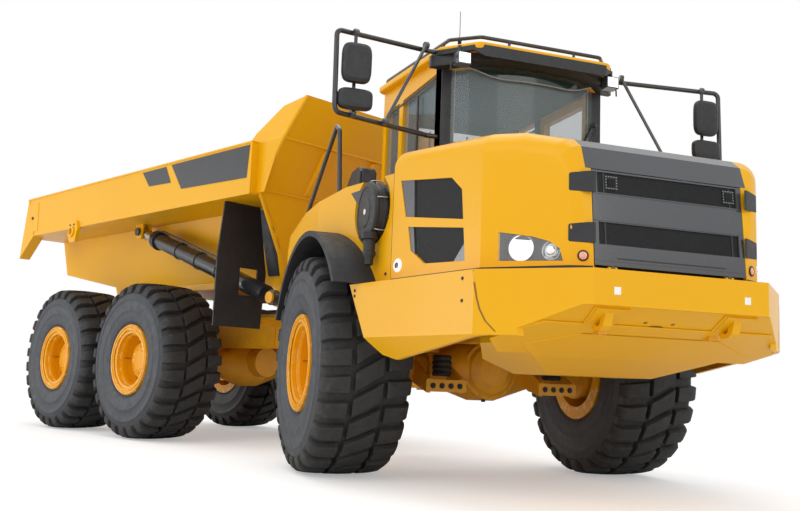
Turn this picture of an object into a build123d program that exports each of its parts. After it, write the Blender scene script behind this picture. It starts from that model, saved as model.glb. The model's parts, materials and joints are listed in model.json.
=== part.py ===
from build123d import *
import math
import os

os.makedirs("parts", exist_ok=True)

# Articulated six-wheel dump truck, in millimetres.
# Both units are drawn in one straight line: X forward from the front axle, Y to the left, Z up
# from the ground. The load unit is then turned about the steering pivot to its parked angle.

# Wheels
TYRE_RADIUS = 905.0
TYRE_WIDTH = 750.0
TREAD_DEPTH = 45.0
TREAD_PITCHES = 27
LUG_WIDTH = 132.0
RIM_SEAT_RADIUS = 318.0
RIM_FLANGE_RADIUS = 406.0
RIM_WIDTH = 690.0
RIM_PLATE = 22.0
RIM_DISC_OFFSET = 120.0
HUB_RADIUS = 215.0
SPINDLE_RADIUS = 70.0
SPINDLE_REACH = 30.0
TRACK = 2636.0
AXLE_HEIGHT = TYRE_RADIUS

# Lengths along the truck
BOGIE_FRONT_X = -4515.0
BOGIE_SPACING = 1940.0
BOGIE_REAR_X = BOGIE_FRONT_X - BOGIE_SPACING
PIVOT_X = -1394.0
STEER_AT_REST = 25.3

# Clearances
SEAT_GAP = 0.3
RUN_GAP = 5.0
SHAFT_GAP = 0.05

# Nose: bumper, skid plate, hood and grille
BUMPER_TOP_Z = 1490.0
BUMPER_FOLD_Z = 1275.0
BUMPER_LIP_Z = 1090.0
BUMPER_LOW_Z = 930.0
BUMPER_FRONT_X = 2914.0
BUMPER_FRONT_HALF = 632.0
BUMPER_CORNER_X = 2410.0
BUMPER_CORNER_HALF = 1170.0
BUMPER_REAR_X = 940.0
BUMPER_HALF = 1530.0
BUMPER_PLATE = 30.0
HOOD_BOTTOM_Z = 1498.0
HOOD_REAR_X = 1300.0
HOOD_PLATE = 30.0
HOOD_HINGE_Z = 2500.0
HOOD_HINGE_Y = (430.0, 470.0)
HOOD_ROUND = 150.0
HOOD_CAP_X = 2430.0
HOOD_CAP_HALF = 600.0
COWL_TOP_Z = 2470.0
HINGE_PIN_RADIUS = 10.0
HINGE_KNUCKLE_RADIUS = 18.0
GRILLE_BOTTOM_Z = 1524.0
GRILLE_TOP_Z = 2124.0
GRILLE_TOP_X = 2751.0
GRILLE_HALF = 560.0
GRILLE_FACE_X = 2800.0
GRILLE_DEPTH = 70.0
GRILLE_PIN = (2790.0, 1507.0)
GRILLE_PIN_RADIUS = 8.0
GRILLE_KNUCKLE_RADIUS = 13.0
MESH_Z = ((1655.0, 1793.0), (1978.0, 2108.0))
TOW_EYE = (2737.0, 1193.0)
TOW_EYE_RADIUS = 30.0
TOW_PLATE_Y = (437.0, 497.0)
STEP_X = (1160.0, 1490.0)
STEP_Z = (1130.0, 1290.0)

# Cab
CAB_HALF = 750.0
CAB_REAR_X = -790.0
CAB_SIDE_FRONT_X = 700.0
CAB_CORNER_X = 875.0
CAB_CORNER_HALF = 565.0
CAB_NOSE_X = 990.0
CAB_FLOOR_Z = 1640.0
CAB_SILL_Z = 2560.0
CAB_WALL = 60.0
CAB_PILLAR = 90.0
ROOF_TOP_Z = 3660.0
ROOF_THICKNESS = 65.0
ROOF_SLOPE = 0.08
ROOF_OVERHANG = 70.0
VISOR_X = 1140.0
VISOR_HALF = 600.0
VISOR_REACH = 110.0
CAB_HEAD_Z = ROOF_TOP_Z - 290.0
CAB_CEILING_Z = ROOF_TOP_Z - 250.0
WORK_LAMP = (1010.0, 688.0, ROOF_TOP_Z - 285.0)
GLASS = 12.0
DOOR_REAR_X = -240.0
DOOR_FRONT_X = 610.0
DOOR_HINGE_X = DOOR_REAR_X + 4.0
DOOR_GAP = 8.0
DOOR_PIN_RADIUS = 10.0
DOOR_HINGE_Y = CAB_HALF + 28.0
DOOR_HINGE_Z = (2300.0, CAB_HEAD_Z - 220.0)
DOOR_LOW_Z = 2050.0

# Fenders and side platforms
FENDER_INNER = 800.0
FENDER_REAR_X = -960.0
SHOULDER_Z = 2300.0
DECK_Z = 2035.0
ARCH_RADIUS = 1130.0
ARCH_CENTRE = (150.0, 860.0)
FLARE_HALF = 1700.0
FLARE_THICKNESS = 45.0
AIR_CLEANER = (960.0, 2080.0)
AIR_CLEANER_RADIUS = 235.0
AIR_CLEANER_INNER = 1200.0

# Frames and hitch
RAIL_Y = 410.0
RAIL_WIDTH = 60.0
RAIL_LOW_Z = 1120.0
RAIL_TOP_Z = 1400.0
PIVOT_LOW_Z = 720.0
PIVOT_HIGH_Z = 1420.0
EAR_PLATE = 70.0
KNUCKLE_RADIUS = 140.0
PIN_RADIUS = 70.0
ROLL_AXIS_Z = 1060.0
ROLL_TUBE_RADIUS = 200.0
HITCH_TUBE_END_X = PIVOT_X - 660.0
LOAD_FRAME_FRONT_X = PIVOT_X - 565.0

# Steering cylinders, seen from above, measured from the steering pivot
STEER_CYLINDER_Z = 900.0
STEER_FOOT = (1130.0, 360.0)
STEER_EYE_REACH = 330.0
STEER_EYE_ANGLE = 100.0
STEER_BARREL_RADIUS = 55.0
STEER_ROD_RADIUS = 30.0
STEER_BARREL_LENGTH = 800.0
STEER_EYE_RADIUS = 55.0

CAB_MOUNT_X = (-650.0, 620.0)
FRAME_FRONT_X = 2660.0

# Load body
DUMP_PIVOT_X = -6850.0
DUMP_PIVOT_Z = 1620.0
DUMP_PIN_RADIUS = 55.0
BODY_HALF = 1685.0
RAIL_FRONT_X = -2290.0
BODY_RAIL_LOW_Z = 2600.0
BODY_RAIL_TOP_Z = 3130.0
BODY_PLATE = 30.0
BELLY_HALF = 880.0
BELLY_Z = 1720.0
BELLY_FOLD_Z = 1850.0
WALL_TOP_HALF = 1080.0
FRONT_HALF = 1600.0
TOP_HALF = 1440.0
BODY_TOP_Z = 3570.0

# Hoist cylinders
HOIST_FOOT = (-2380.0, 1250.0, 1583.0)
HOIST_EYE = (-5150.0, 1250.0, 2505.0)
TAIL_EYE = (-6160.0, 2540.0)
TAIL_EYE_RADIUS = 32.0
HOIST_BARREL_RADIUS = 95.0
HOIST_ROD_RADIUS = 55.0
HOIST_HEAD_CLEAR = 359.0
HOIST_ROD_START = 160.0
HOIST_EYE_RADIUS = 80.0
EYE_THICKNESS = 70.0
CLEVIS_PLATE = 25.0
CLEVIS_GAP = 3.0
FOOT_PIN_RADIUS = 25.0

# Heights of the two clevis plates of a steering cylinder
STEER_CLEVIS_Z = (
    STEER_CYLINDER_Z - EYE_THICKNESS / 2 - CLEVIS_GAP - CLEVIS_PLATE,
    STEER_CYLINDER_Z + EYE_THICKNESS / 2 + CLEVIS_GAP,
)

# Place of each unit: the origin lies on the ground under the middle of the parked truck
STEER_COS = math.cos(math.radians(STEER_AT_REST))
STEER_SIN = math.sin(math.radians(STEER_AT_REST))
TAIL_X = -7840.0
TAIL_REACH = PIVOT_X - TAIL_X
REACH_BACK = TAIL_REACH * STEER_COS + BODY_HALF * STEER_SIN - PIVOT_X
REACH_RIGHT = TAIL_REACH * STEER_SIN + BODY_HALF * STEER_COS
MIRROR_REACH = 1790.0
FRONT_AXLE_X = (REACH_BACK - BUMPER_FRONT_X) / 2
FRONT_AXLE_Y = (REACH_RIGHT - MIRROR_REACH) / 2
TRACTOR = Location((FRONT_AXLE_X, FRONT_AXLE_Y, 0))
LOAD_UNIT = (
    TRACTOR
    * Location((PIVOT_X, 0, 0), (0, 0, STEER_AT_REST))
    * Location((-PIVOT_X, 0, 0))
)

SIDES = {"left": 1, "right": -1}


def save(piece, name, place=TRACTOR):
    """Label a finished piece, move it to its unit's place and write it."""
    piece.part.label = name
    export_step(piece.part.moved(place), f"parts/{name}.step")


def side_plate(points, y_low, y_high, mode=Mode.ADD):
    """Extrude a side view, given as (x, z) points, from y_low to y_high."""
    with BuildSketch(Plane.XZ.offset(-y_high)) as profile:
        with BuildLine():
            Polyline(*points, close=True)
        make_face()
    extrude(profile.sketch, amount=y_high - y_low, mode=mode)


def plan_plate(points, z_low, z_high, mode=Mode.ADD):
    """Extrude a plan view, given as (x, y) points, from z_low to z_high."""
    with BuildSketch(Plane.XY.offset(z_low)) as profile:
        with BuildLine():
            Polyline(*points, close=True)
        make_face()
    extrude(profile.sketch, amount=z_high - z_low, mode=mode)


def cross_plate(points, x_low, x_high, mode=Mode.ADD):
    """Extrude a view from behind, given as (y, z) points, from x_low to x_high."""
    with BuildSketch(Plane.YZ.offset(x_low)) as profile:
        with BuildLine():
            Polyline(*points, close=True)
        make_face()
    extrude(profile.sketch, amount=x_high - x_low, mode=mode)


def block(x_range, y_range, z_range, mode=Mode.ADD):
    """A square block between three ranges."""
    plan_plate(
        [(x_range[0], y_range[0]), (x_range[1], y_range[0]),
         (x_range[1], y_range[1]), (x_range[0], y_range[1])],
        z_range[0], z_range[1], mode,
    )


def drum_y(x, z, radius, y_low, y_high, mode=Mode.ADD):
    """A round drum whose axis runs across the truck."""
    with BuildSketch(Plane.XZ.offset(-y_high)) as profile:
        with Locations((x, z)):
            Circle(radius)
    extrude(profile.sketch, amount=y_high - y_low, mode=mode)


def drum_x(y, z, radius, x_low, x_high, mode=Mode.ADD):
    """A round drum whose axis runs along the truck."""
    with BuildSketch(Plane.YZ.offset(x_low)) as profile:
        with Locations((y, z)):
            Circle(radius)
    extrude(profile.sketch, amount=x_high - x_low, mode=mode)


def drum_z(x, y, radius, z_low, z_high, mode=Mode.ADD):
    """A round drum that stands upright."""
    with BuildSketch(Plane.XY.offset(z_low)) as profile:
        with Locations((x, y)):
            Circle(radius)
    extrude(profile.sketch, amount=z_high - z_low, mode=mode)


def tube(points, radius, bend):
    """Bend a round tube along straight runs joined by arcs."""
    with BuildLine() as route:
        FilletPolyline(*points, radius=bend)
    with BuildSketch(Plane(origin=route.line @ 0, z_dir=route.line % 0)) as profile:
        Circle(radius)
    sweep(profile.sketch, path=route.wire())


def both_sides(points):
    """Close a plan or a section, given for its left half, over the middle."""
    return points + [(a, -b) for a, b in reversed(points)]


def mirrored_section(points):
    """Close a (y, z) section, given for its left half from the top down."""
    return points + [(-y, z) for y, z in reversed(points)]


# Wheels


def wheel_place(axle_x, side, unit):
    """Where a wheel's centre goes, its outer face to the outside of the truck."""
    turn = 0 if side > 0 else 180
    return unit * Location((axle_x, side * TRACK / 2, AXLE_HEIGHT), (0, 0, turn))


# Side view of a shoulder lug, as (radius, distance from the tyre's middle)
SHOULDER_LUG = [(840.0, 150.0), (901.0, 150.0), (884.0, 330.0), (840.0, 330.0)]
# Slanted middle lug seen from outside, as (place around the tread, distance from the middle)
MIDDLE_LUG = [(-130.0, 118.0), (-5.0, -118.0), (130.0, -118.0), (5.0, 118.0)]
MIDDLE_LUG_RADIUS = (830.0, 895.0)
# Where the lugs sit within a pitch
SHOULDER_SHIFT = {1: 0.38, -1: 0.335}
MIDDLE_SHIFT = 0.86


def tyre_lugs():
    """The two shoulder lugs and the slanted middle lug of one pitch, for a tyre about Z."""
    pitch = 360 / TREAD_PITCHES
    for side, shift in SHOULDER_SHIFT.items():
        with BuildSketch(Plane.XZ.rotated((0, 0, shift * pitch)).offset(-LUG_WIDTH / 2)) as view:
            with BuildLine():
                Polyline(*[(radius, side * y) for radius, y in SHOULDER_LUG], close=True)
            make_face()
        extrude(view.sketch, amount=LUG_WIDTH)
    turn = math.radians(MIDDLE_SHIFT * pitch)
    outward = Vector(math.cos(turn), math.sin(turn), 0)
    around = (-math.sin(turn), math.cos(turn), 0)
    low, high = MIDDLE_LUG_RADIUS
    with BuildSketch(Plane(origin=outward * low, x_dir=around, z_dir=outward)) as view:
        with BuildLine():
            Polyline(*MIDDLE_LUG, close=True)
        make_face()
    extrude(view.sketch, amount=high - low)


def make_tyre():
    """A tyre on the Y axis, its lugs fused to it."""
    half = TYRE_WIDTH / 2
    bead_y = RIM_WIDTH / 2 - RIM_PLATE - SEAT_GAP
    right = [
        (RIM_SEAT_RADIUS + SEAT_GAP, bead_y), (RIM_FLANGE_RADIUS + 4, bead_y),
        (RIM_FLANGE_RADIUS + 30, half - 35), (TYRE_RADIUS * 0.78, half - 2),
        (TYRE_RADIUS - TREAD_DEPTH, half - 39),
    ]
    with BuildPart(mode=Mode.PRIVATE) as lugs:
        tyre_lugs()
    with BuildPart(mode=Mode.PRIVATE) as upright:
        with BuildSketch(Plane.XZ) as section:
            with BuildLine():
                Polyline(*right, *[(radius, -y) for radius, y in reversed(right)], close=True)
            make_face()
        revolve(section.sketch, axis=Axis.Z)
        with PolarLocations(0, TREAD_PITCHES):
            add(lugs.part)
    with BuildPart() as tyre:
        add(upright.part, rotation=(90, 0, 0))
    return tyre


def make_rim():
    half = RIM_WIDTH / 2
    inner = RIM_SEAT_RADIUS - RIM_PLATE
    disc = RIM_DISC_OFFSET
    with BuildPart() as rim:
        with BuildSketch(Plane.XY):
            with BuildLine():
                Polyline(
                    (0, -20), (HUB_RADIUS, -20), (HUB_RADIUS, disc - 40), (inner, disc - 60),
                    (inner, -half), (RIM_FLANGE_RADIUS, -half),
                    (RIM_FLANGE_RADIUS, -half + RIM_PLATE), (RIM_SEAT_RADIUS, -half + RIM_PLATE),
                    (RIM_SEAT_RADIUS, half - RIM_PLATE), (RIM_FLANGE_RADIUS, half - RIM_PLATE),
                    (RIM_FLANGE_RADIUS, half), (inner + 10, half - 10), (inner, disc),
                    (HUB_RADIUS, disc), (HUB_RADIUS - 15, disc + 70), (0, disc + 90),
                    close=True,
                )
            make_face()
        revolve(axis=Axis.Y)
        drum_y(0, 0, SPINDLE_RADIUS + SHAFT_GAP, -30, SPINDLE_REACH + RUN_GAP, Mode.SUBTRACT)
    return rim


WHEELS = (
    # name, axle's x, unit
    ("front", 0.0, TRACTOR),
    ("middle", BOGIE_FRONT_X, LOAD_UNIT),
    ("rear", BOGIE_REAR_X, LOAD_UNIT),
)

tyre = make_tyre()
rim = make_rim()
for axle_name, axle_x, unit in WHEELS:
    for side_name, side in SIDES.items():
        place = wheel_place(axle_x, side, unit)
        save(tyre, f"tyre_{axle_name}_{side_name}", place)
        save(rim, f"rim_{axle_name}_{side_name}", place)


# Axles


def add_axle(x, bulb_radius):
    """An axle housing with its differential and the two wheel-end drums."""
    end = TRACK / 2 - 20 - RUN_GAP
    drum_y(x, AXLE_HEIGHT, 130, -end, end)
    drum_y(x, AXLE_HEIGHT, 205, TRACK / 2 - 330, end)
    drum_y(x, AXLE_HEIGHT, 205, -end, -TRACK / 2 + 330)
    spindle_end = TRACK / 2 + SPINDLE_REACH
    drum_y(x, AXLE_HEIGHT, SPINDLE_RADIUS, -spindle_end, spindle_end)
    with BuildSketch(Plane.XY.offset(AXLE_HEIGHT)) as profile:
        with BuildLine():
            Polyline(
                (x, -520), (x + 130, -520), (x + bulb_radius, -120), (x + bulb_radius, 120),
                (x + 130, 520), (x, 520), close=True,
            )
        make_face()
    revolve(profile.sketch, axis=Axis((x, 0, AXLE_HEIGHT), (0, 1, 0)))


with BuildPart() as front_axle:
    add_axle(0, 265)
    drum_x(0, AXLE_HEIGHT, 190, -330, 0)
save(front_axle, "front_axle")

with BuildPart() as rear_axles:
    for axle_x in (BOGIE_FRONT_X, BOGIE_REAR_X):
        add_axle(axle_x, 265)
        drum_x(0, AXLE_HEIGHT + 40, 180, axle_x, axle_x + 420)
save(rear_axles, "rear_axles", LOAD_UNIT)


# Front frame with the hinge ears


def hinge_ear(z_low):
    """One of the two plates that hold the steering pivot's pin."""
    with BuildSketch(Plane.XY.offset(z_low)) as profile:
        with Locations((PIVOT_X, 0)):
            Circle(KNUCKLE_RADIUS + 30)
        with Locations((PIVOT_X + 200, 0)):
            Rectangle(400, 2 * (KNUCKLE_RADIUS + 30))
    extrude(profile.sketch, amount=EAR_PLATE)


with BuildPart() as front_frame:
    for side in SIDES.values():
        low, high = sorted((side * (RAIL_Y - RAIL_WIDTH / 2), side * (RAIL_Y + RAIL_WIDTH / 2)))
        side_plate(
            [(PIVOT_X + 260, RAIL_LOW_Z), (FRAME_FRONT_X, RAIL_LOW_Z), (FRAME_FRONT_X, RAIL_TOP_Z),
             (PIVOT_X + 260, RAIL_TOP_Z)], low, high)
        for x in CAB_MOUNT_X:
            drum_z(x, side * RAIL_Y, 45, RAIL_TOP_Z, CAB_FLOOR_Z - SEAT_GAP)
        foot_x = PIVOT_X + STEER_FOOT[0]
        foot_y = side * STEER_FOOT[1]
        for z in STEER_CLEVIS_Z:
            drum_z(foot_x, foot_y, STEER_EYE_RADIUS, z, z + CLEVIS_PLATE)
            low, high = sorted((foot_y, side * (STEER_FOOT[1] + 95)))
            block((foot_x - 50, foot_x + 40), (low, high), (z, z + CLEVIS_PLATE))
        low, high = sorted((side * (STEER_FOOT[1] + 65), side * (STEER_FOOT[1] + 95)))
        block((foot_x - 50, foot_x + 40), (low, high), (STEER_CLEVIS_Z[0], RAIL_LOW_Z + 60))
        drum_z(foot_x, foot_y, FOOT_PIN_RADIUS, STEER_CLEVIS_Z[0], STEER_CLEVIS_Z[1])
    block((2300, 2450), (-RAIL_Y, RAIL_Y), (RAIL_LOW_Z, RAIL_TOP_Z))
    for x in (400, 1300, 2100):
        block((x - 50, x + 50), (-RAIL_Y, RAIL_Y), (RAIL_LOW_Z, RAIL_LOW_Z + 40))
    block((PIVOT_X + 260, PIVOT_X + 400), (-RAIL_Y, RAIL_Y), (RAIL_LOW_Z, PIVOT_HIGH_Z))
    block((PIVOT_X + 260, PIVOT_X + 400), (-KNUCKLE_RADIUS - 20, KNUCKLE_RADIUS + 20),
          (PIVOT_LOW_Z, RAIL_LOW_Z))
    hinge_ear(PIVOT_LOW_Z)
    hinge_ear(PIVOT_HIGH_Z - EAR_PLATE)
    drum_z(PIVOT_X, 0, PIN_RADIUS, PIVOT_LOW_Z - 20, PIVOT_HIGH_Z + 20)
save(front_frame, "front_frame")

with BuildPart() as struts:
    for side in SIDES.values():
        for x in (-250, 250):
            drum_z(x, side * 600, 60, AXLE_HEIGHT + 140, 1560)
    for side in SIDES.values():
        block((-310, 310), (side * 600 - 70, side * 600 + 70), (AXLE_HEIGHT + 130 + SEAT_GAP, 1080))
        low, high = sorted((side * (RAIL_Y + RAIL_WIDTH / 2 + SEAT_GAP), side * 670))
        block((-310, 310), (low, high), (1560, 1600))
        low, high = sorted((side * (RAIL_Y + RAIL_WIDTH / 2 + SEAT_GAP), side * 475))
        block((-310, 310), (low, high), (1180, 1600))
save(struts, "suspension_struts")


# Nose


def bumper_form(outline, top, mode=Mode.ADD):
    """The bumper's space: upright sides down to the fold, leaning in below it."""
    plan_plate(both_sides(outline), BUMPER_LIP_Z, top, mode)
    down = Plane(origin=(0, 0, BUMPER_LIP_Z), x_dir=(1, 0, 0), z_dir=(0, 0, -1))
    with BuildSketch(down) as profile:
        with BuildLine():
            Polyline(*both_sides(outline), close=True)
        make_face()
    extrude(profile.sketch, amount=BUMPER_LIP_Z - BUMPER_LOW_Z, taper=40, mode=mode)


with BuildPart() as bumper:
    bumper_form([(BUMPER_REAR_X - 200, BUMPER_HALF + 49), (BUMPER_CORNER_X, BUMPER_CORNER_HALF),
                 (BUMPER_FRONT_X, BUMPER_FRONT_HALF)], BUMPER_TOP_Z)
    bumper_form([(BUMPER_REAR_X - 250, BUMPER_HALF + 61 - BUMPER_PLATE),
                 (BUMPER_CORNER_X - 15, BUMPER_CORNER_HALF - BUMPER_PLATE),
                 (FRAME_FRONT_X + SEAT_GAP, BUMPER_FRONT_HALF + 220)],
                BUMPER_TOP_Z - BUMPER_PLATE, Mode.SUBTRACT)
    rear_edge = [(BUMPER_REAR_X, BUMPER_TOP_Z), (1203, 1033), (1250, 970), (1379, 936)]
    side_plate(rear_edge + [(2450, 1085), (3100, 1085), (3100, 700), (400, 700),
                            (400, BUMPER_TOP_Z + 10), (BUMPER_REAR_X, BUMPER_TOP_Z + 10)],
               -2000, 2000, Mode.SUBTRACT)
    lip = BUMPER_FRONT_X - 45
    side_plate([(lip, BUMPER_FOLD_Z), (3100, BUMPER_FOLD_Z), (3100, 900), (2600, 900),
                (2600, 1130)], -2000, 2000, Mode.SUBTRACT)
    for side in SIDES.values():
        low, high = sorted((side * (TOW_PLATE_Y[0] - 45), side * (TOW_PLATE_Y[1] + 45)))
        block((TOW_EYE[0] - 50, TOW_EYE[0] + 50), (low, high), (1000, TOW_EYE[1] + 50),
              Mode.SUBTRACT)
        low, high = sorted((side * TOW_PLATE_Y[0], side * TOW_PLATE_Y[1]))
        side_plate([(2845, 1280), (2800, 1160), (2760, 1135), (2700, 1135), (2665, 1180),
                    (2665, 1280)], low, high)
        drum_y(TOW_EYE[0], TOW_EYE[1], TOW_EYE_RADIUS, low, high, Mode.SUBTRACT)
        for inner in (400, 445):
            low, high = sorted((side * inner, side * (inner + 15)))
            drum_y(GRILLE_PIN[0], GRILLE_PIN[1], GRILLE_KNUCKLE_RADIUS, low, high)
            block((GRILLE_PIN[0] - 15, GRILLE_PIN[0] + 15), (low, high),
                  (BUMPER_TOP_Z - 10, GRILLE_PIN[1]))
        low, high = sorted((side * 400, side * 460))
        drum_y(GRILLE_PIN[0], GRILLE_PIN[1], GRILLE_PIN_RADIUS, low, high)
    for z in STEP_Z:
        block(STEP_X, (1200, 1600), (z + 30, z + 130), Mode.SUBTRACT)
    inside = [(BUMPER_REAR_X - 10, 1290), (2300, 960), (2640, 600)]
    plan_plate(both_sides(inside), BUMPER_TOP_Z - BUMPER_PLATE - 10, BUMPER_TOP_Z + 10,
               Mode.SUBTRACT)
save(bumper, "bumper")

# Two footholds behind the bumper's left side
with BuildPart() as steps:
    slope = (BUMPER_HALF - BUMPER_CORNER_HALF) / (BUMPER_CORNER_X - BUMPER_REAR_X)
    edge = [(x, BUMPER_HALF - BUMPER_PLATE - SEAT_GAP - 3 - slope * (x - BUMPER_REAR_X))
            for x in STEP_X]
    for z in STEP_Z:
        plan_plate(edge + [(STEP_X[1], 1150), (STEP_X[0], 1150)], z, z + 30)
    for x in STEP_X:
        block((x - 15, x + 15), (1250, 1280),
              (STEP_Z[0], BUMPER_TOP_Z - BUMPER_PLATE - SEAT_GAP))
save(steps, "steps")

def skid_form(lift, mode=Mode.ADD):
    """The folded plate's underside and the space over it, raised by lift."""
    with BuildPart(mode=Mode.PRIVATE) as form:
        low = [(2650, 1144), (2280, 980), (1980, 870), (1500, 870), (1400, RAIL_LOW_Z)]
        side_plate([(x, z + lift) for x, z in low] + [(1400, 1300), (2650, 1300)], -900, 900)
        section = [(900, 1300), (900, 1070), (420, 870), (100, 850)]
        cross_plate(mirrored_section([(y, z + lift) for y, z in section]), 1390, 2660,
                    Mode.INTERSECT)
        plan_plate(both_sides([(1390, 620), (1900, 880), (2400, 880), (2660, 380)]), 800, 1400,
                   Mode.INTERSECT)
    add(form.part, mode=mode)


with BuildPart() as skid_plate:
    skid_form(0)
    skid_form(40, Mode.SUBTRACT)
    block((1300, 2700), (-900, 900), (RAIL_LOW_Z - SEAT_GAP, 1400), Mode.SUBTRACT)
save(skid_plate, "skid_plate")

HOOD_PLAN = [(HOOD_REAR_X, 1330), (2300, 1080), (2740, 690), (2800, 560)]
HOOD_TOP = [(HOOD_REAR_X, 2480), (2400, 2400), (2620, 2330), (2700, 2270),
            (GRILLE_TOP_X, GRILLE_TOP_Z)]
VENT_VIEWS = (
    [(1386, 2229), (1983, 2151), (2097, 2054), (2118, 1851), (1460, 1952)],
    [(1497, 1876), (2124, 1794), (2147, 1574), (1702, 1594), (1535, 1702)],
)
LAMP_VIEW = [(2388, 1555), (2388, 1739), (2560, 1700), (2644, 1665), (2690, 1622), (2707, 1545)]


def hood_volume(inset, mode=Mode.ADD):
    """The space under the hood's skin, pulled in by inset."""
    with BuildPart(mode=Mode.PRIVATE) as form:
        low = HOOD_BOTTOM_Z - (10 if inset else 0)
        back = HOOD_REAR_X - (10 if inset else 0)
        plan = [(back, HOOD_PLAN[0][1] - inset)]
        plan += [(x - inset / 3, y - inset) for x, y in HOOD_PLAN[1:]]
        plan_plate(both_sides(plan), low, 2600)
        top = [(back, low)] + [(back, HOOD_TOP[0][1] - inset)]
        top += [(x - inset, z - inset) for x, z in HOOD_TOP[1:]] + [(GRILLE_FACE_X - inset, low)]
        side_plate(top, -1600, 1600, Mode.INTERSECT)
        shoulders = form.edges().filter_by(
            lambda edge: edge.bounding_box().min.Z > HOOD_TOP[-1][1] + 10
            and edge.bounding_box().max.X > HOOD_REAR_X + 5
            and abs(edge.center().Y) > 300)
        fillet(shoulders, radius=HOOD_ROUND - inset)
    add(form.part, mode=mode)


def lamp_space(grow):
    """Both headlights in the hood's front corners, larger by grow all round."""
    middle_x, middle_z = 2548, 1630
    for side in SIDES.values():
        view = [(x + math.copysign(grow, x - middle_x), z + math.copysign(grow, z - middle_z))
                for x, z in LAMP_VIEW]
        with BuildPart(mode=Mode.PRIVATE) as lamp:
            side_plate(view, *sorted((side * 500, side * 1200)))
            plan = [(2300, side * (1086 + grow)), (2740, side * (696 + grow)),
                    (2740, side * (590 - grow)), (2300, side * (980 - grow))]
            plan_plate(plan, 1500, 1800, Mode.INTERSECT)
        add(lamp.part)


with BuildPart() as hood_cap:
    hood_volume(0)
    hood_volume(HOOD_PLATE, Mode.SUBTRACT)
    block((HOOD_CAP_X + SEAT_GAP, 2900), (-HOOD_CAP_HALF + SEAT_GAP, HOOD_CAP_HALF - SEAT_GAP),
          (GRILLE_TOP_Z + SEAT_GAP, 2600), Mode.INTERSECT)
save(hood_cap, "hood_cap")

with BuildPart() as hood:
    hood_volume(0)
    hood_volume(HOOD_PLATE, Mode.SUBTRACT)
    block((2650, 2900), (-GRILLE_HALF, GRILLE_HALF), (HOOD_BOTTOM_Z - 10, GRILLE_TOP_Z),
          Mode.SUBTRACT)
    block((HOOD_CAP_X, 2900), (-HOOD_CAP_HALF, HOOD_CAP_HALF), (GRILLE_TOP_Z, 2600),
          Mode.SUBTRACT)
    for side in SIDES.values():
        low, high = sorted((side * HOOD_HINGE_Y[0], side * HOOD_HINGE_Y[1]))
        drum_y(HOOD_REAR_X, HOOD_HINGE_Z, HINGE_KNUCKLE_RADIUS, low, high)
        block((HOOD_REAR_X, HOOD_REAR_X + 60), (low, high), (2455, HOOD_HINGE_Z + 12))
        drum_y(HOOD_REAR_X, HOOD_HINGE_Z, HINGE_PIN_RADIUS + SHAFT_GAP, low, high,
               Mode.SUBTRACT)
    for side in SIDES.values():
        low, high = sorted((side * 900, side * 1600))
        for view in VENT_VIEWS:
            side_plate(view, low, high, Mode.SUBTRACT)
    with BuildPart(mode=Mode.PRIVATE) as pockets:
        lamp_space(SEAT_GAP)
    add(pockets.part, mode=Mode.SUBTRACT)
save(hood, "hood")

with BuildPart() as headlights:
    lamp_space(0)
save(headlights, "headlights")

with BuildPart() as hood_vents:
    for side in SIDES.values():
        plan = [(1340, side * 1287.2), (2160, side * 1082.2), (2160, side * 1062.2),
                (1340, side * 1267.2)]
        plan_plate(plan, 1570, 2235)
save(hood_vents, "hood_vents")

with BuildPart() as grille:
    side_plate([(GRILLE_FACE_X, GRILLE_BOTTOM_Z), (GRILLE_TOP_X, GRILLE_TOP_Z - RUN_GAP),
                (GRILLE_TOP_X - GRILLE_DEPTH, GRILLE_TOP_Z - RUN_GAP),
                (GRILLE_FACE_X - GRILLE_DEPTH, GRILLE_BOTTOM_Z)],
               -GRILLE_HALF + RUN_GAP, GRILLE_HALF - RUN_GAP)
    for low, high in MESH_Z:
        block((GRILLE_FACE_X - 90, GRILLE_FACE_X + 5), (-GRILLE_HALF + 40, GRILLE_HALF - 40),
              (low, high), Mode.SUBTRACT)
        side_plate([(GRILLE_FACE_X - 35, GRILLE_BOTTOM_Z), (GRILLE_TOP_X - 35, GRILLE_TOP_Z - 10),
                    (GRILLE_TOP_X - 45, GRILLE_TOP_Z - 10), (GRILLE_FACE_X - 45, GRILLE_BOTTOM_Z)],
                   -GRILLE_HALF + 30, GRILLE_HALF - 30)
    for side in SIDES.values():
        low, high = sorted((side * 420, side * 440))
        drum_y(GRILLE_PIN[0], GRILLE_PIN[1], GRILLE_KNUCKLE_RADIUS, low, high)
        block((GRILLE_PIN[0] - 15, GRILLE_PIN[0] + 8), (low, high),
              (GRILLE_PIN[1], GRILLE_BOTTOM_Z + 20))
        drum_y(GRILLE_PIN[0], GRILLE_PIN[1], GRILLE_PIN_RADIUS + SHAFT_GAP, low, high,
               Mode.SUBTRACT)
save(grille, "grille")

with BuildPart() as engine:
    block((1150, 2250), (-330, 330), (RAIL_LOW_Z + 40 + SEAT_GAP, 2050))
save(engine, "engine")

with BuildPart() as radiator:
    block((2460, 2600), (-540, 540), (RAIL_TOP_Z + SEAT_GAP, 2080))
save(radiator, "radiator")

with BuildPart() as transmission:
    block((-150, 1150 - SEAT_GAP), (-300, 300), (1190, 1560))
    block((-700, -150), (-240, 240), (1190, 1480))
save(transmission, "transmission")


# Fenders with the shoulders beside the cab

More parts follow.
